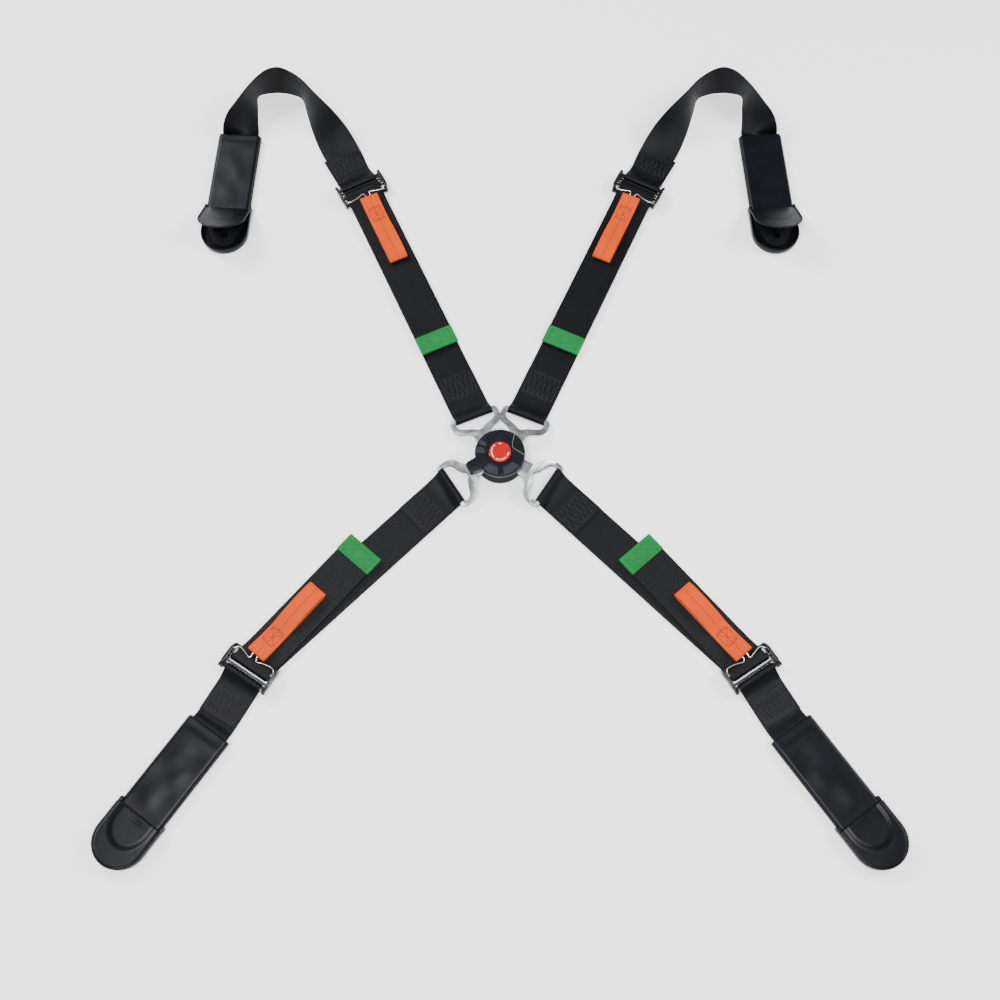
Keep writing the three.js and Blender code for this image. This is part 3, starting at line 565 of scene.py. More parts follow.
def woven(name, dark, light, rib=1.25, pick=1.7, roughness=0.62, tracer=None, sewn=None, **sockets):
    """Webbing: ribs along the strap crossed by slanted picks; painted shade darkens the weave's hollows and
    leaves its crowns paler, more so in random blotches.
    """
    n = Nodes(name, light, roughness, **sockets)
    across, along, relief = n.cloth()[:3]
    ribs = n.math("ABSOLUTE", n.math("SINE", n.times(across, math.pi / rib)))
    side = n.math("PINGPONG", across, rib * 2)
    slant = n.add(n.times(along, 2 * math.pi / pick), n.times(side, 2.0))
    picks = n.add(n.times(n.math("SINE", slant), 0.5), 0.5)
    weave = n.add(n.times(ribs, 0.55), n.times(picks, 0.45))
    blotch = n.noise(38.0, 4.0)
    crown = n.times(weave, n.between(blotch, 0.55, 1.15))
    # painted shade: the weave's height colours its hollows dark and its crowns pale, scaled by random
    # blotches
    color = n.ramp(crown, (0.1, dark), (0.85, light))
    # painted shade: cloth sunk at the sewing lines is coloured towards a darker copy of the dark colour
    color = n.mix(n.clamp(n.times(relief, -2.6), 0.75), color, tinted(dark, 0.35))
    # painted highlight: the cloth's swell between rows of stitches is coloured towards the paler `sewn`
    # colour
    if sewn:
        color = n.mix(n.clamp(n.times(relief, 16.0), 0.85), color, sewn)
    if tracer:
        line = n.math("LESS_THAN", n.math("ABSOLUTE", across), 0.55)
        dash = n.math("LESS_THAN", n.math("FRACT", n.math("DIVIDE", along, 4.6)), 0.42)
        color = n.mix(n.times(n.times(line, dash), 0.8), color, tracer)
    n.link(color, "Base Color")
    n.link(n.between(blotch, roughness - 0.1, roughness + 0.1), "Roughness")
    return n.bump(weave, 0.00022, 0.8)


def vinyl(name, color, roughness):
    """Soft PVC with a fine grain and slightly uneven shine."""
    n = Nodes(name, color, roughness, Specular_IOR_Level=0.11)
    uneven = n.noise(26.0, 3.0)
    grain = n.noise(2600.0, 2.0)
    n.link(n.ramp(uneven, (0.3, tinted(color, 0.75)), (0.75, tinted(color, 1.35))), "Base Color")
    n.link(n.between(uneven, roughness - 0.09, roughness + 0.1), "Roughness")
    height = n.add(n.times(grain, 0.25), n.noise(55.0, 2.0))
    return n.bump(height, 0.00035, 0.5)


def moulded(name, color, roughness, grain=1800.0, depth=0.00006, shine=0.5):
    """Injection moulded plastic or a baked coat: fine texture and faint handling marks."""
    n = Nodes(name, color, roughness, Specular_IOR_Level=shine)
    marks = n.noise(90.0, 5.0, 0.7)
    n.link(n.ramp(marks, (0.35, tinted(color, 0.8)), (0.8, tinted(color, 1.3, 0.002))), "Base Color")
    n.link(n.between(marks, roughness - 0.1, roughness + 0.12), "Roughness")
    return n.bump(n.noise(grain, 2.0), depth, 0.6)


def steel(name, color, roughness, contrast=0.08):
    """Rolled and polished steel with fine drawn lines and a cloudy shine."""
    n = Nodes(name, color, roughness, metallic=1.0)
    lines = n.noise(420.0, stretch=(1.0, 14.0, 1.0))
    clouds = n.noise(60.0, 3.0)
    dark, light = (tuple(min(1.0, c * (1 + sign * contrast)) for c in color) for sign in (-1, 1))
    n.link(n.ramp(clouds, (0.38, dark), (0.62, light)), "Base Color")
    both = n.add(n.times(lines, 0.5), n.times(clouds, 0.5))
    n.link(n.between(both, roughness * 0.8, roughness * 1.25), "Roughness")
    return n.bump(lines, 0.00002, 0.5)


# its `sewn` colour is a painted highlight on the cloth's swells between rows of stitches
BLACK_WEB = woven("black_webbing", (0.0006, 0.0006, 0.0009), (0.0036, 0.0037, 0.0053), roughness=0.44,
                  sewn=(0.0125, 0.0125, 0.016), Specular_IOR_Level=0.1)
GREEN_WEB = woven("green_webbing", (0.001, 0.045, 0.008), (0.004, 0.19, 0.04), 1.0, 1.5, 0.65,
                  Specular_IOR_Level=0.12)
ORANGE_WEB = woven("orange_webbing", (0.32, 0.024, 0.001), (0.58, 0.068, 0.002), 1.1, 1.5, 0.6,
                   tracer=(0.03, 0.004, 0.004), Specular_IOR_Level=0.1)
BLACK_THREAD = moulded("black_thread", (0.013, 0.013, 0.017), 0.45, shine=0.3)
GREEN_THREAD = moulded("dark_green_thread", (0.002, 0.035, 0.008), 0.5)
RED_THREAD = moulded("red_orange_thread", (0.22, 0.006, 0.002), 0.5)
BOOT_SKIN = vinyl("satin_vinyl", (0.0025, 0.0025, 0.0042), 0.32)
TONGUE_STEEL = steel("polished_steel", (0.42, 0.44, 0.45), 0.3, contrast=0.35)
# painted shade: the tongue's steep edge faces get a dark, non-metal paint for the dark lines its polished
# edges show
STEEL_EDGE_SHADE = moulded("steel_edge_painted_shade", (0.05, 0.052, 0.055), 0.5, shine=0.15)
PLATE_STEEL = steel("zinc_plated_steel", (0.42, 0.43, 0.45), 0.38)
WIRE_STEEL = steel("spring_wire", (0.62, 0.59, 0.50), 0.2)
BLACK_STEEL = moulded("black_coated_steel", (0.003, 0.003, 0.004), 0.3, 900.0, 0.00003, shine=0.35)
KNOB_BLACK = moulded("knob_plastic", (0.003, 0.003, 0.006), 0.4, shine=0.12)
# painted sheen: the pockets' floors get a lighter, lavender copy of the knob plastic, as if lit
KNOB_POCKET_SHEEN = moulded("knob_pocket_sheen", (0.008, 0.008, 0.015), 0.45, shine=0.3)
KNOB_PANEL = moulded("knob_panel", (0.002, 0.003, 0.002), 0.34, shine=0.2)
KNOB_LINE = moulded("grey_line", (0.12, 0.13, 0.12), 0.5)
BUTTON_RED = moulded("button_red", (0.30, 0.0035, 0.0025), 0.34, 700.0, 0.00002, shine=0.2)
BUTTON_WHITE = moulded("button_white", (0.75, 0.70, 0.68), 0.4)
CAST_BLACK = moulded("black_casting", (0.003, 0.003, 0.004), 0.6, 700.0, 0.00008, shine=0.05)
ANCHOR_BLACK = moulded("black_anchor_steel", (0.004, 0.004, 0.005), 0.45, 700.0, 0.00004, shine=0.12)


# ------------------------------------------------------------------ tongue
def tongue_drop(y):
    """Share of the way from the shank's level down to the crossbar's."""
    return smoothstep(-0.06, 0.06, (y - 20.0) / 21.0) * np.clip((y - 20.0) / 21.0, 0, 1)


def make_tongue(arm):
    right = [(5.2, -7.0), (8.6, -3.2), (10.5, 2.5), (10.5, 9.0), (10.6, 15.0), (11.6, 19.0), (14.6, 22.6),
             (18.5, 25.2), (22.8, 27.0), (27.0, 29.4), (30.6, 34.0), (32.3, 40.5), (32.4, 46.0), (31.4, 50.4),
             (28.6, 53.0), (24.0, 53.5)]
    outline = right + [(-x, y) for x, y in reversed(right)]
    inner = [(0, 25.6), (3.4, 26.6), (7.6, 29.8), (12.5, 32.2), (17.5, 34.0), (21.6, 35.9), (24.6, 38.8),
             (25.9, 42.4), (25.7, 46.0), (23.5, 47.5), (12, 47.5)]
    window = inner + [(-x, y) for x, y in reversed(inner[1:])]
    outer = [tuple(p) for p in smooth_path(outline, 1.2, closed=True)]
    gap = [tuple(p) for p in smooth_path(window, 1.2, closed=True)]
    mesh = flat_plate(outer, [gap, circle(0, 0, 4.0)], -1.5, 1.5, 0.55)
    with edited(mesh) as work:
        for y in np.arange(16.0, 46.0, 1.0):
            everything = work.verts[:] + work.edges[:] + work.faces[:]
            bmesh.ops.bisect_plane(work, geom=everything, plane_co=(0, y, 0), plane_no=(0, 1, 0))

    def bend(points):
        points = points.copy()
        points[:, 2] += 15.0 + (BAR_HEIGHT - 15.0) * tongue_drop(points[:, 1])
        return points

    # its steep edge faces take the second material, the painted edge shade
    shape = Shape().mesh(mesh, bend, 1)
    name = f"tongue_{arm.name}"
    piece(f"stamped_{name}", shape, arm.tongue, name, [TONGUE_STEEL, STEEL_EDGE_SHADE], [name], 18)


# ------------------------------------------------------------------ straps
def skewed(turn):
    """Half the webbing's width along a bar that is turned from square."""
    return (WEB / 2, -WEB / 2 * math.tan(turn), 0.0)


BELT_LINES = lattice(-20.5, 20.5, BELT_BLOCK[0] + 3, BELT_BLOCK[1] - 2, 6)
STRAP_LINES = lattice(-20.5, 20.5, STRAP_BLOCK[0] + 3, STRAP_BLOCK[1] - 2, 6)


def sewn_relief(lines, low, high, level):
    """Sinks the cloth at its sewing lines, on the layer whose middle is at `level`."""
    def relief(x, _, middle):
        if not low < middle[1] < high or abs(middle[2] - level) > 0.3:
            return 0.0
        return SEWN_LIFT - SEWN_DEPTH * nearness(lines, x, middle[1])
    return relief


def make_belt(arm):
    """The long strap: a sewn end, the turn round the tongue's bar, and the lower run to the adjuster."""
    name = arm.name
    turn = arm.side * (arm.tongue.heading - arm.belt.heading)
    bar = arm.adjuster.ahead(SLIDE_BAR["y"])
    bar_x, bar_y = arm.belt.local(bar.x, bar.y)
    end_turn = arm.side * (arm.adjuster.heading - arm.belt.heading)
    square, skew = (WEB / 2, 0, 0), skewed(turn)
    upper = BELT_LOW + LAYER
    stations = [(0, SEWN_END, upper, *square), (0, 40, upper, *square), (0, 16, upper, *square),
                (0, 9.5, BELT_LOW + 3.4, *skew)]
    stations += arc(0, BAR_HEIGHT, LOOP_RADIUS, 62, 270, 9, skew)
    stations += [(0, 14, BELT_LOW, *square), (0, 40, BELT_LOW, *square), (0, bar_y - 60, BELT_LOW, *square),
                 (0, bar_y - 26, BELT_LOW, *square), (0, bar_y - 8, BELT_LOW + 0.2, *skewed(end_turn))]
    shape = Shape()
    low, high = BELT_BLOCK[0] - 4, BELT_BLOCK[1] + 4
    band(shape, stations, WEB_THICK, 1.5, 30, sewn_relief(BELT_LINES, low, high, upper))
    belt = piece(f"webbing_belt_{name}", shape, arm.belt, None, BLACK_WEB, [f"belt_{name}"])
    start, end = arm.belt.world([(0, 90, 0), (0, bar_y - 24, 0)]) * MM
    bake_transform(belt)
    sewing = stitches(BELT_LINES, lambda x, y: upper + WEB_THICK / 2 - STITCH_SINK)
    piece(f"belt_stitching_{name}", sewing, arm.belt, f"belt_{name}", BLACK_THREAD)
    return bar_x, bar_y, end_turn


def make_tail(arm, bar_x, bar_y, bar_turn):
    """The free run of the strap, back from the slide bar over the belt, and its folded tag."""
    name = arm.name
    low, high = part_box(f"tail_tag_{name}")
    tag_x, tag_y = arm.belt.local(*((low + high) / 2 / MM)[:2])
    turn = arm.side * (arm.tail_heading - arm.belt.heading)
    back = TAG["length"] / 2 - 0.4
    end = np.array([tag_x - math.sin(turn) * back, tag_y - math.cos(turn) * back])
    toward = unit(end - (bar_x, bar_y))
    across = skewed(bar_turn)
    run_across = (-toward[1] * WEB / 2, toward[0] * WEB / 2, 0.0)
    radius = SLIDE_BAR["radius"] + GAP + WEB_THICK / 2
    stations = [(bar_x, bar_y - 3.6, 1.7, *across)]
    for row in arc(0, SLIDE_BAR["z"], radius, -80, 105, 9, across):
        stations.append((row[0] + bar_x, row[1] + bar_y, *row[2:]))
    for distance, z in ((9, 9.4), (14, 7.9), (20, 7.0), (30, 6.0), (60, TAIL_HEIGHT)):
        side = across if distance < 20 else run_across
        stations.append((bar_x + toward[0] * distance, bar_y + toward[1] * distance, z, *side))
    stations.append((*((end + (bar_x, bar_y)) / 2), TAIL_HEIGHT, *run_across))
    stations.append((*end, TAIL_HEIGHT, *run_across))
    shape = Shape()
    band(shape, stations, WEB_THICK, 1.6)
    tail = piece(f"webbing_tail_{name}", shape, arm.belt, None, BLACK_WEB, [f"tail_{name}"])
    near, far = arm.belt.world([(bar_x + toward[0] * d, bar_y + toward[1] * d, 0) for d in (24, 120)]) * MM
    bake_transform(tail)
    fold = arm.belt.world([(*end, 0)])[0]
    place = Place(fold[0], fold[1], arm.tail_heading, arm.side)
    make_tag(arm, place)


def make_tag(arm, place):
    """Green webbing folded over the end of the tail."""
    r = WEB_THICK / 2 + GAP + TAG["thick"] / 2
    across = (TAG["width"] / 2, 0, 0)
    reach = TAG["length"] - 1.7
    stations = [(0, reach, TAIL_HEIGHT + r, *across), (0, reach / 2, TAIL_HEIGHT + r + 0.12, *across)]
    stations += arc(-0.2, TAIL_HEIGHT, r, 90, 270, 7, across)
    stations += [(0, reach / 2, TAIL_HEIGHT - r, *across), (0, reach, TAIL_HEIGHT - r, *across)]
    lines = lattice(-19.5, 19.5, 3.5, reach - 3.2, 2)
    shape = Shape()
    band(shape, stations, TAG["thick"], 1.0, 34, sewn_relief(lines, 0.5, reach, TAIL_HEIGHT + r))
    body = f"tail_{arm.name}"
    piece(f"webbing_tag_{arm.name}", shape, place, body, GREEN_WEB, [f"tail_tag_{arm.name}"])
    top = TAIL_HEIGHT + r + TAG["thick"] / 2 - 0.05
    sewing = stitches(lines[:3], lambda x, y: top)
    piece(f"tag_stitching_{arm.name}", sewing, place, body, GREEN_THREAD)


def in_room(place, stations, room):
    """Stations of a place, as stations of the mirrored room."""
    spots = place.world([s[:3] for s in stations])
    tips = place.world([np.add(s[:3], s[3:]) for s in stations])
    flip = np.array([room.side, 1, 1])
    return [(*(p * flip), *((q - p) * flip)) for p, q in zip(spots, tips)]


def make_anchor_strap(arm):
    """From the adjuster's rear bar to the anchor plate, with a turn on edge on the shoulder arms."""
    shoulder = arm.kind == "shoulder"
    target = (LOOP_START[0] * arm.side, LOOP_START[1]) if shoulder else (arm.boot.x, arm.boot.y)
    tx, ty = arm.rear.local(*target)
    turn = math.atan2(tx, ty)
    radius = math.hypot(REAR_BAR[1] - REAR_BAR[0], DECK[1] - DECK[0]) / 2 + GAP + WEB_THICK / 2
    square = (WEB / 2, 0, 0)
    turned = (WEB / 2 * math.cos(turn), -WEB / 2 * math.sin(turn), 0)

    def out(distance, z):
        return (math.sin(turn) * distance, math.cos(turn) * distance, z, *turned)

    upper = FLOOR_RUN + LAYER
    start = [out(56, upper), out(36, upper), out(16, upper), out(8.5, FLOOR_RUN + 4.2)]
    start += arc(0, (DECK[0] + DECK[1]) / 2, radius, 65, 270, 8, square)
    start += [out(16, FLOOR_RUN)]
    stations = in_room(arm.rear, start, arm.room)
    if shoulder:
        for ix, iy, ox, oy, oz in SHOULDER_LOOP:
            inner = np.array([ix, iy, FLOOR_RUN], float)
            across = unit(inner - (ox, oy, oz)) * WEB / 2
            stations.append((*(inner - across), *across))
    else:
        stations += in_room(arm.rear, [out(60, FLOOR_RUN)], arm.room)
    bar_y, r = PLATE_NEAR + 2.5, PLATE_THICK / 2 + GAP + WEB_THICK / 2
    tail = [(0, -2, 4.9), (0, 40, 4.5), (0, 90, 4.2),
            (0, bar_y - 8, PLATE_MIDDLE - r), (0, bar_y + 2.9, PLATE_MIDDLE - r),
            (0, bar_y + 2.9 + 0.75 * r, PLATE_MIDDLE - 0.66 * r), (0, bar_y + 2.9 + r, PLATE_MIDDLE),
            (0, bar_y + 2.9 + 0.75 * r, PLATE_MIDDLE + 0.66 * r), (0, bar_y + 2.9, PLATE_MIDDLE + r),
            (0, 100, PLATE_MIDDLE + r - 0.1), (0, 76, PLATE_MIDDLE + r - 0.2)]
    stations += in_room(arm.boot, [(*spot, *square) for spot in tail], arm.room)
    shape = Shape()
    mapped = {}

    def relief(x, along, middle):
        key = round(float(along), 4)
        if key not in mapped:
            wx = middle[0] * arm.room.side
            mapped[key] = arm.rear.local(wx, middle[1])
        lx, ly = mapped[key]
        distance = lx * math.sin(turn) + ly * math.cos(turn)
        if not 19 < distance < 58 or abs(middle[2] - upper) > 0.2:
            return 0.0
        return SEWN_LIFT - SEWN_DEPTH * nearness(STRAP_LINES, x, distance)

    band(shape, stations, WEB_THICK, 1.8, 30, relief)
    name = arm.name
    body = f"anchor_{name}"
    piece(f"webbing_anchor_{name}", shape, arm.room, body, BLACK_WEB, [f"anchor_strap_{name}"])

    sewing = stitches(STRAP_LINES, lambda x, y: upper + WEB_THICK / 2 - STITCH_SINK, turn=turn)
    piece(f"anchor_stitching_{name}", sewing, arm.rear, body, BLACK_THREAD)


# ------------------------------------------------------------------ adjuster, bail and pull
def make_adjuster(arm):
    """The frame: pressed cheeks with turned-out lips, front and rear bars, and the slide bar's slots."""
    c = CHEEK
    shape = Shape()
    base = rounded(-c["outer"], c["outer"], -17.0, REAR_BAR[1], 2.0)
    spans = [(-12.0, MIDDLE_BAR[0]), (MIDDLE_BAR[1], REAR_BAR[0])]
    windows = [rounded(1 - c["inner"], c["inner"] - 1, *span, 0.7) for span in spans]
    shape.mesh(flat_plate(base, windows, *DECK, 0.4))
    cheek = [(-17, 3.4), (-15.4, 1.2), (-13.4, 0.3), (14.6, 0.3), (16.4, 1.0), (17, 2.6), (17, 8),
             (16, 10.2), (13, 12), (10, 13.4), (-11.5, 14), (-14.6, 13), (-16.4, 11), (-17, 8.6)]
    y, z = SLIDE_BAR["y"], SLIDE_BAR["z"]
    slot = rounded(y - 4.0, y + 4.0, z - 1.5, z + 1.5, 1.45)
    side_plate = flat_plate(cheek, [slot, circle(WIRE["y"], WIRE["z"], 1.3, 20)], -1.0, 1.0, 0.4)
    lip = [(0, -14.6), (1.4, -13.2), (2.4, -10), (2.6, -4), (2.6, 8), (2.0, 11), (3.0, 13.6),
           (2.6, 16.6), (1.2, 17), (0, 16)]
    lip_plate = flat_plate(lip + [(-1.2, 16), (-1.2, -14.2)], [], -0.9, 0.9, 0.4)

    def turned_out(p):
        """The lip stands off the cheek's top edge and dips towards its far end."""
        dip = 0.28 * np.clip(p[:, 1] - 8, 0, 9)
        return np.stack([side * (c["outer"] - 0.6 + p[:, 0]), p[:, 1], 12.6 + p[:, 2] - dip], 1)

    for side in (1, -1):
        middle = side * (c["inner"] + c["outer"]) / 2
        shape.mesh(side_plate, lambda p: np.stack([middle + p[:, 2], p[:, 0], p[:, 1]], 1))
        shape.mesh(lip_plate, turned_out)
    name = f"adjuster_{arm.name}"
    piece(f"pressed_{name}", shape, arm.adjuster, name, BLACK_STEEL,
          [f"adjuster_frame_{arm.name}"], 18)


def make_slide_bar(arm):
    """A knurled bar with flat pins that run in the cheeks' slots."""
    y, z, radius = SLIDE_BAR["y"], SLIDE_BAR["z"], SLIDE_BAR["radius"]
    half = CHEEK["inner"] - 1.5
    rings = []
    for x in np.linspace(-half, half, 60):
        ends = min(1.0, (half - abs(x)) / 0.8 + 0.75)
        ring = []
        for k in range(48):
            a = 2 * math.pi * k / 48
            ridge = 0.09 * (-1) ** k if abs(x) < half - 2 else 0.0
            r = (radius - 0.1 + ridge) * ends
            ring.append((x, y + r * math.cos(a), z + r * math.sin(a)))
        rings.append(ring)
    shape = Shape().rings(rings)
    for side in (1, -1):
        pin = [(side * x, y, z) for x in (half - 1, 30, CHEEK["outer"] + 0.8)]
        shape.rings(tube(pin, 1.15), paint=1)
    name = f"slide_bar_{arm.name}"
    piece(f"knurled_{name}", shape, arm.adjuster, name, [BLACK_STEEL, WIRE_STEEL], [name], 35)


def make_bail(arm):
    """Bent spring wire between the cheeks, whose middle hook holds the pull."""
    ex, ey = arm.adjuster.local(arm.pull.x, arm.pull.y)
    a = -arm.side * (arm.pull.heading - arm.adjuster.heading)

    def hook(x, back):
        return (ex + x * math.cos(a) - back * math.sin(a), ey + x * math.sin(a) + back * math.cos(a))

    def half(s):
        y = WIRE["y"]
        return [(s * (CHEEK["outer"] + 0.9), y), (s * 30, y), (s * 28.6, y - 0.2), (s * 26.4, y - 2.9),
                (s * 23.8, y - 4.3), (ex + s * 15, y - 3.3), (ex + s * 8, y - 1.0), (ex + s * 5.4, y - 0.4),
                (ex + s * 3.9, y - 1.9), hook(s * 3.4, 4.6), hook(s * 3.2, 0.4)]

    points = [(x, y, WIRE["z"]) for x, y in half(1) + half(-1)[::-1]]
    shape = Shape().rings(tube(points, WIRE["radius"], 0.7, 12))
    for side in (1, -1):
        x = side * (CHEEK["outer"] + 0.4)
        shape.rings(tube([(x, WIRE["y"], WIRE["z"]), (x + side * 0.7, WIRE["y"], WIRE["z"])], 1.5))
    name = f"bail_{arm.name}"
    piece(f"wire_{name}", shape, arm.adjuster, name, WIRE_STEEL, [name], 50)


def make_pull(arm):
    """Orange webbing: an eye round the bail's hook, a sewn stem and an open finger loop."""
    across = (PULL_WIDTH / 2, 0, 0)
    f = PULL_FLAT
    path = [(-37.5, f + 0.25), (-30, f + 0.4), (-24, f + 0.6), (-12, -3.4), (-6, -EYE_RADIUS - 0.4)]
    stations = [(0, y, z, *across) for y, z in path]
    stations += arc(0, 0, EYE_RADIUS, -90, 92, 9, across)
    loop = [(-8, 0.6), (-16, -0.9), (-24, f + 2.3), (-32, f + 1.9), (-40, f + 1.9), (-56, 1.2),
            (-76, 3.6), (-94, 3.2), (-101, 2.0), (-104.4, 0.2), (-105, -1.6), (-103.6, -3.4),
            (-99, f), (-80, f), (-60, f), (-38.1, f + 0.2)]
    stations += [(0, y, z, *across) for y, z in loop]
    stations = [(x, y, z + WIRE["z"], *rest) for x, y, z, *rest in stations]
    box = [(-8.2, -35.5), (8.2, -35.5), (8.2, -17.5), (-8.2, -17.5), (-8.2, -35.5)]
    lines = [box, [(-8.2, -35.5), (8.2, -17.5)], [(8.2, -35.5), (-8.2, -17.5)],
             [(-8.2, -37.0), (8.2, -37.0)], [(-8.2, -16.2), (8.2, -16.2)]]
    shape = Shape()

    def relief(x, _, middle):
        if not -40 < middle[1] < -13 or middle[2] < WIRE["z"] + f + 1.2:
            return 0.0
        return -0.34 * nearness(lines, x, middle[1], 1.8)

    band(shape, stations, PULL_THICK, 1.0, 20, relief)
    name = f"pull_{arm.name}"
    piece(f"webbing_{name}", shape, arm.pull, name, ORANGE_WEB, [f"pull_loop_{arm.name}"])
    top = smooth_path([(y, z) for y, z in [(-2, EYE_RADIUS)] + loop[:7]], 1.0)[::-1]

    def height(_, y):
        return WIRE["z"] + np.interp(y, top[:, 0], top[:, 1]) + PULL_THICK / 2 - 0.08

    sewing = stitches(lines, height, 2.5, 2.1, 0.42)
    piece(f"pull_stitching_{arm.name}", sewing, arm.pull, name, RED_THREAD)


# ------------------------------------------------------------------ boots
def sleeve_relief(x, y, spread):
    """Soft dents and swells of the sleeve's top."""
    total = 0.0
    for dx, dy, depth, wide, long in DENTS:
        total += depth * math.exp(-(((x - spread * dx) / wide) ** 2) - ((y - dy) / long) ** 2)
    return total * max(0.0, 1 - (abs(x) / 29) ** 4)


def sleeve_section(half, low, high, corner, columns):
    """Closed loop of a flattened tube, anticlockwise seen from its mouth, and which points are on top."""
    flat = np.linspace(half - corner, -half + corner, columns)
    top = [(x, high, True) for x in flat]
    bottom = [(-x, low, False) for x in flat]
    middle, rise = (low + high) / 2, (high - low) / 2
    bend = np.radians([25, 50, 75])
    left = [(-half + corner - corner * math.sin(a), middle + rise * math.cos(a), False)
            for a in (*bend, math.pi / 2)]
    left += [(x, 2 * middle - z, False) for x, z, _ in reversed(left[:-1])]
    right = [(-x, 2 * middle - z, False) for x, z, _ in left]
    return top + left + bottom + right


def u_curve(radius, near, centre, straight, bend):
    """Points of a U from the right near corner, round the far end, to the left near corner."""
    ys = np.linspace(near, centre, straight, endpoint=False)
    right = [(radius, y) for y in ys]
    angles = np.linspace(0, math.pi, bend)
    far = [(radius * math.cos(a), centre + radius * math.sin(a)) for a in angles]
    return right + far + [(-x, y) for x, y in reversed(right)]


def tray_sheet(profile, near, straight, bend, swell=None):
    """Points and faces of rows of (inset, height) swept round the tray's U outline and closed across it.

    `swell` lifts the points of every row but the first, which is the middle of the underside.
    """
    centre = BOOT["length"] - BOOT["tray"]
    rows = []
    for i, (inset, z) in enumerate(profile):
        curve = u_curve(max(BOOT["tray"] - inset, 0.02), near, centre, straight, bend)
        rows.append([(x, y, z + (swell(inset, x, y) if swell and i else 0.0)) for x, y in curve])
    sheet = np.array(rows).transpose(1, 0, 2)
    count, width = sheet.shape[:2]
    faces = [(i * width + k, i * width + k + 1, (i + 1) * width + k + 1, (i + 1) * width + k)
             for i in range(count - 1) for k in range(width - 1)]
    last = (count - 1) * width
    faces.append((*range(width), *(last + k for k in reversed(range(width)))))
    return sheet.reshape(-1, 3), faces


def make_boot(arm):
    """Sleeve over the strap, and the round-ended tray that holds the anchor plate."""
    b = BOOT
    shape = Shape()
    ys = [0, 0.5, 1.2, 2.4, 4.0, *np.linspace(6, b["sleeve"], 58)]
    outer_rings, inner_rings = [], []
    for y in ys:
        mouth = 0.8 * math.exp(-y / 0.6)
        ring = []
        outer = sleeve_section(b["half"] - mouth, b["low"] + mouth * 0.3, b["top"] - mouth, 3.2, 30)
        for x, z, on_top in outer:
            lift = sleeve_relief(x, y, DENT_SPREAD[arm.kind]) if on_top else 0.0
            ring.append((x, y, z + lift * DENT_DEPTH[arm.kind]))
        outer_rings.append(ring)
        inner = sleeve_section(b["half"] - 1.9, b["low"] + b["skin"], b["top"] - b["skin"], 2.2, 30)
        inner_rings.append([(x, y, z - (0.4 if z > 5 else 0.0)) for x, z, _ in inner])
    shape.rings([*reversed(inner_rings), *outer_rings], caps=False)
    tray = [(b["tray"], 0.5), (2.2, 0.4), (1.0, 0.5), (0.3, 1.1), (0.0, 2.2), (0.0, 8.2), (0.15, 9.3),
            (0.7, 9.95), (1.4, 10.0), (2.1, 9.6), (2.3, 8.8), (2.3, 3.4), (2.8, 2.3), (4.2, 2.0),
            (b["tray"], 2.0)]
    shape.add(*tray_sheet(tray, b["sleeve"] - 5, 16, 36))
    ear = rounded(28.2, b["tray"], b["sleeve"] - 6.2, b["sleeve"] + 0.4, 1.4)
    for side in (1, -1):
        shape.mesh(flat_plate([(side * x, y) for x, y in ear][::side], [], 0.6, b["top"] + 0.5, 0.6))
        seam = [(side * (b["half"] + 0.1), y, 5.0) for y in (1.0, 30.0, 60.0, 90.0, b["sleeve"] - 4)]
        shape.rings(tube(seam, 0.8, 4.0, 8))
    name = f"boot_{arm.name}"
    piece(f"vinyl_{name}", shape, arm.boot, f"anchor_{arm.name}", BOOT_SKIN, [name], 50)


def make_flap(arm):
    """Round-ended lid with a beaded rim and a raised crescent, at its angle on the sleeve's end."""
    b = BOOT
    low = b["top"] + GAP
    profile = [(b["tray"], low + 0.1), (3.0, low), (1.2, low), (0.4, low + 0.25), (0.0, low + 0.9),
               (0.1, low + 1.6), (0.6, low + 2.1), (1.3, low + 2.2), (2.0, low + 1.9), (2.5, low + 1.35),
               (3.2, low + 1.15), (4.6, low + 1.15)]
    profile += [(d, low + 1.2) for d in np.linspace(6, b["tray"], 24)]

    def swell(inset, x, y):
        if inset < 4:
            return 0.0
        reach = math.hypot(x / 25.5, max(0.0, y - 133.0) / 31.0) if y > 133 else abs(x) / 25.5
        dome = LID_DOME[arm.kind] * (1 - smoothstep(0.78, 1.04, np.array(reach)))
        crease = LID_CREASE[arm.kind] * math.exp(-(((y - 128.5) / 1.6) ** 2))
        return float(dome) + crease * math.exp(-(((x + 2.0) / 11.0) ** 2))

    points, faces = tray_sheet(profile, b["sleeve"] + 0.6, 20, 44, swell)
    angle = math.radians(LID_ANGLE[arm.kind])
    spots = points - (0, b["sleeve"], b["top"])
    c, s = math.cos(angle), math.sin(angle)
    x, y, z = spots.T
    spots = np.stack([x, y * c - z * s, y * s + z * c], 1)
    shape = Shape().add(spots + (0, b["sleeve"], b["top"]), faces)
    hinge = [(x, b["sleeve"], b["top"]) for x in (-28.2, -14.0, 0.0, 14.0, 28.2)]
    shape.rings(tube(hinge, 1.25, 3.0, 14))
    name = f"flap_{arm.name}"
    piece(f"vinyl_{name}", shape, arm.boot, name, BOOT_SKIN, [f"boot_{name}"], 50)


# ------------------------------------------------------------------ buckle
def heading_point(heading, radius, z=0.0):
    a = math.radians(heading)
    return (radius * math.sin(a), radius * math.cos(a), z)


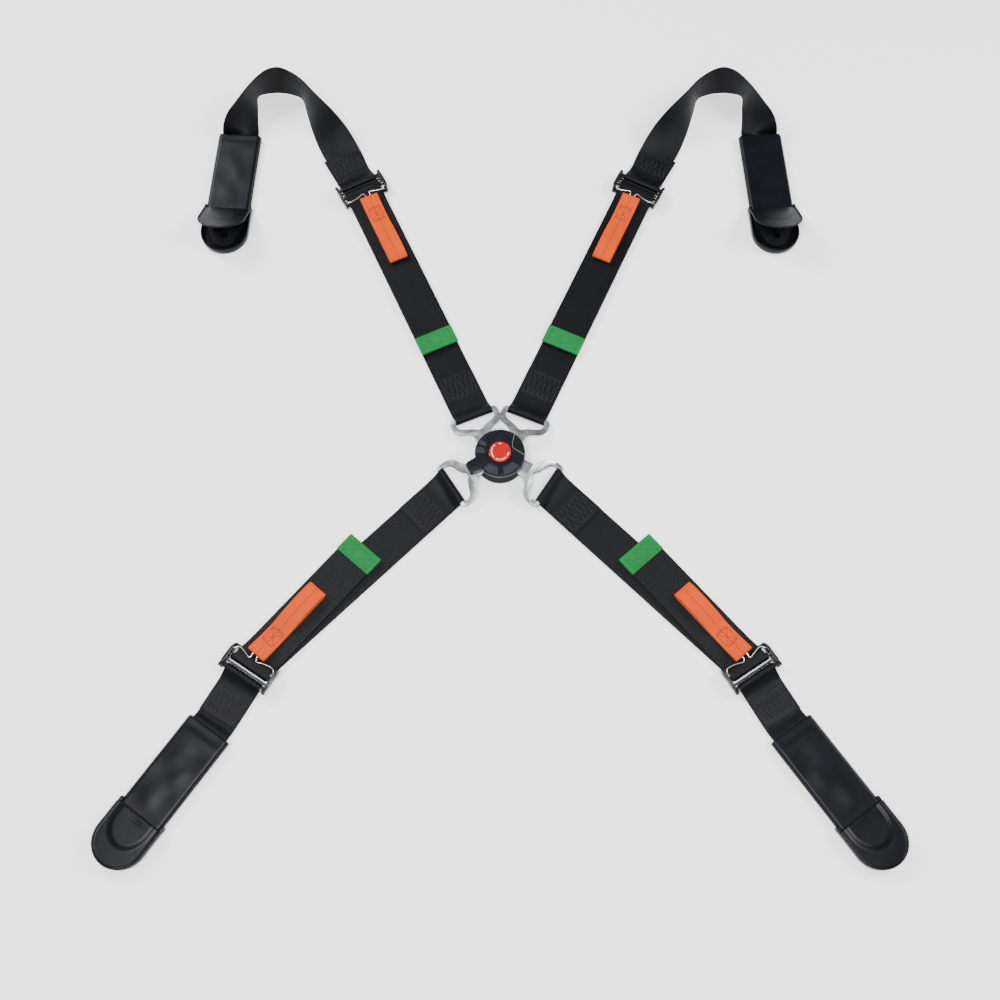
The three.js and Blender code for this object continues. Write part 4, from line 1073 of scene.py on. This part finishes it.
def pocket_depth(x, y):
    """How far the knob's top is sunk at a point."""
    radius = math.hypot(x, y)
    heading = math.degrees(math.atan2(x, y))
    depth = 0.0
    for middle, half in POCKETS:
        past = abs((heading - middle + 180) % 360 - 180)
        side = (half - past) * math.pi / 180 * radius
        inner = radius - 18.5
        outer = KNOB["radius"] - 1.0 - radius
        inside = min(side, inner, outer)
        corner = math.hypot(max(0.0, 2.5 - side), max(0.0, 2.5 - inner))
        inside = min(inside, 2.5 - corner) if side < 2.5 and inner < 2.5 else inside
        depth = max(depth, POCKET_DEPTH * float(smoothstep(0.0, 0.7, np.array(inside))))
    return depth


def in_panel(x, y):
    """Whether a point of the knob's top lies in its marked panel."""
    near, vertex, far, radius = PANEL
    corner = np.array(heading_point(vertex, radius)[:2])
    first = np.array(heading_point(near, KNOB["radius"])[:2]) - corner
    second = np.array(heading_point(far, KNOB["radius"])[:2]) - corner
    spot = np.array([x, y]) - corner
    return np.cross(spot, first) > 0 and np.cross(second, spot) > 0


def make_knob():
    """The turning knob: a disc with sunk pockets and a marked panel, and its lever."""
    k = KNOB
    rim = round_rim(k["radius"], k["top"] - 2.0, 2.0, 10)
    face = [(r, k["top"]) for r in np.linspace(k["button"] + 0.4, k["radius"] - 2.0, 44)]
    wall = [(k["radius"], z) for z in (27.0, 25.0, 23.2)]
    hem = [(k["radius"] - 0.2, 22.4), (k["radius"] - 0.9, k["low"]), (28.6, k["low"]), (28.6, 27.6),
           (15.0, 27.6)]
    throat = [(k["button"], 27.8), (k["button"], k["top"] - 0.5), (k["button"] + 0.1, k["top"] - 0.15)]
    steps = 288
    rings = lathe([*throat, *face, *rim, *wall, *hem, throat[0]], steps)
    sunk = []
    for i, ring in enumerate(rings):
        on_top = len(throat) <= i < len(throat) + len(face) + 6
        sunk.append([(x, y, z - (pocket_depth(x, y) if on_top else 0.0)) for x, y, z in ring])
    paint = []
    for i in range(len(sunk) - 1):
        on_top = len(throat) <= i < len(throat) + len(face) + len(rim)
        for j in range(steps):
            x, y, _ = sunk[i][j]
            # the pockets' floors take the painted sheen material
            if on_top and pocket_depth(x, y) > 0.8 * POCKET_DEPTH:
                paint.append(3)
            else:
                paint.append(1 if on_top and in_panel(x, y) else 0)
    shape = Shape().rings(sunk, caps=False, paint=paint)
    lever = [(-8.5, 26), (8.5, 26), (8.3, 30), (7.4, 40), (6.8, 43), (5.4, 44.5),
             (-5.4, 44.5), (-6.8, 43), (-7.4, 40), (-8.3, 30)]

    def swing(points):
        return turn_flat(points, math.radians(LEVER_HEADING))

    shape.mesh(flat_plate(lever, [], 17.6, k["top"] + 0.05, 0.7), swing)
    paddle = [(-5.6, 15.6), (5.6, 15.6), (7.4, 26), (7.2, 32), (6.2, 41), (4.6, 43.3),
              (-4.6, 43.3), (-6.2, 41), (-7.2, 32), (-7.4, 26)]
    shape.mesh(flat_plate(paddle, [], k["top"] - 1.4, k["top"] + 0.75, 0.6), swing)
    near, vertex, far, radius = PANEL
    edge = k["radius"] - 0.35
    top = k["top"]
    line = [heading_point(*row) for row in (
        (near, k["radius"] + 0.05, 28.2), (near, edge, top - 0.6), (near, k["radius"] - 2.2, top),
        (near + 9, 22.0, top), (vertex - 7, radius + 1.4, top), (vertex + 3, radius + 0.2, top),
        (vertex + 12, radius + 2.0, top), (far - 4, 26.0, top), (far, k["radius"] - 2.2, top),
        (far, edge, top - 0.6), (far, k["radius"] + 0.05, 28.2))]
    shape.rings(tube(line, 0.3, 1.0, 8), paint=2)
    materials = [KNOB_BLACK, KNOB_PANEL, KNOB_LINE, KNOB_POCKET_SHEEN]
    piece("moulded_knob", shape, Place(0, 0, 0, 1), "knob", materials, ["release_knob"], 30)


def make_button():
    """The red button with its ring of white marks, and its stem."""
    b = BUTTON
    radii = (0.01, 3, 6, 8, 9.2, 9.9, 10.15, 10.6, 11.05, 11.6, 12.2)
    crown = [(r, b["top"] - 0.35 * (r / b["radius"]) ** 4) for r in radii]
    rim = round_rim(b["radius"], b["top"] - 1.65, 1.3, 16)
    skirt = [(b["radius"], 31.0), (b["radius"], b["low"]), (0.01, b["low"])]
    profile = [*crown, *rim, *skirt]
    steps = 180
    rings = lathe(profile, steps)
    paint = []
    for i in range(len(profile) - 1):
        ringed = 10.0 < profile[i][0] < 10.8
        for j in range(steps):
            heading = (j + 0.5) * 360 / steps
            heading = heading - 360 if heading > 180 else heading
            marked = any(low <= heading <= high for low, high in RING_MARKS)
            paint.append(1 if ringed and marked else 0)
    shape = Shape().rings(rings, caps=False, paint=paint)
    shape.rings(lathe([(2.7, 17.5), (2.7, 29.6)], 24))
    piece("moulded_button", shape, Place(0, 0, 0, 1), "button", [BUTTON_RED, BUTTON_WHITE],
          ["push_button"], 40)


def finish_cad(node, material, bevel=0.3):
    """Gives a CAD node its material, smooth round faces and softened edges."""
    made = frame["nodes"][node]
    made.data.materials.clear()
    made.data.materials.append(material)
    for polygon in made.data.polygons:
        polygon.material_index = 0
        polygon.use_smooth = True
    made.data.set_sharp_from_angle(angle=math.radians(32))
    if bevel:
        soft = made.modifiers.new("edges", "BEVEL")
        soft.width = bevel * MM
        soft.segments = 2
        soft.limit_method = "ANGLE"
        soft.angle_limit = math.radians(40)
        soft.harden_normals = False


def make_buckle():
    make_knob()
    make_button()
    finish_cad("housing", CAST_BLACK)
    finish_cad("back_plate", PLATE_STEEL)
    finish_cad("centre_post", PLATE_STEEL, 0)
    finish_cad("cam_rotor", PLATE_STEEL, 0)
    for node in ("return_spring", "button_spring"):
        finish_cad(node, WIRE_STEEL, 0)
    for arm in ("shoulder_left", "shoulder_right", "lap_right"):
        finish_cad(f"latch_pin_{arm}", PLATE_STEEL, 0)
    finish_cad("captive_pin_lap_left", PLATE_STEEL, 0)


# ------------------------------------------------------------------ stage
def area(name, location, target, size, power):
    light = bpy.data.lights.new(name, "AREA")
    light.shape = "RECTANGLE"
    light.size, light.size_y = size
    light.energy = power
    made = add_object(name, light)
    made.location = location
    made.rotation_euler = (Vector(target) - Vector(location)).to_track_quat("-Z", "Y").to_euler()


def make_stage():
    floor_mesh = bpy.data.meshes.new("floor")
    reach = 6.0
    corners = [(-reach, -reach, FLOOR), (reach, -reach, FLOOR), (reach, reach, FLOOR), (-reach, reach, FLOOR)]
    floor_mesh.from_pydata(corners, [], [(0, 1, 2, 3)])
    n = Nodes("pale_floor", (0.93, 0.93, 0.93), 0.9, Specular_IOR_Level=0.05)
    floor_mesh.materials.append(n.material)
    floor = add_object("floor", floor_mesh)
    world = bpy.data.worlds.new("studio")
    bpy.context.scene.world = world
    world.use_nodes = True
    background = world.node_tree.nodes["Background"]
    background.inputs["Color"].default_value = (0.93, 0.95, 1.0, 1)
    background.inputs["Strength"].default_value = 0.6
    area("overhead", (-0.2, -0.75, 2.5), (0, 0, 0), (1.6, 1.0), 125)
    area("key", (-1.5, 1.5, 1.6), (0, 0, 0), (1.1, 0.7), 60)
    area("fill", (1.9, 0.5, 1.5), (0, 0, 0), (0.8, 0.8), 45)


def make_camera():
    camera = bpy.data.cameras.new("camera")
    camera.lens = 43.56
    camera.sensor_width = 36.0
    made = add_object("camera", camera)
    made.location = (0, -0.5703, 1.4236)
    aim = Vector((0, -0.0521, 0)) - made.location
    made.rotation_euler = aim.to_track_quat("-Z", "Y").to_euler()
    bpy.context.scene.camera = made


make_camera()
make_stage()
make_buckle()
for arm_name in ARM_NAMES:
    this = Arm(arm_name)
    make_tongue(this)
    turned_bar = make_belt(this)
    make_tail(this, *turned_bar)
    make_anchor_strap(this)
    make_adjuster(this)
    make_slide_bar(this)
    make_bail(this)
    make_pull(this)
    make_boot(this)
    make_flap(this)
    finish_cad(f"anchor_plate_{arm_name}", ANCHOR_BLACK)
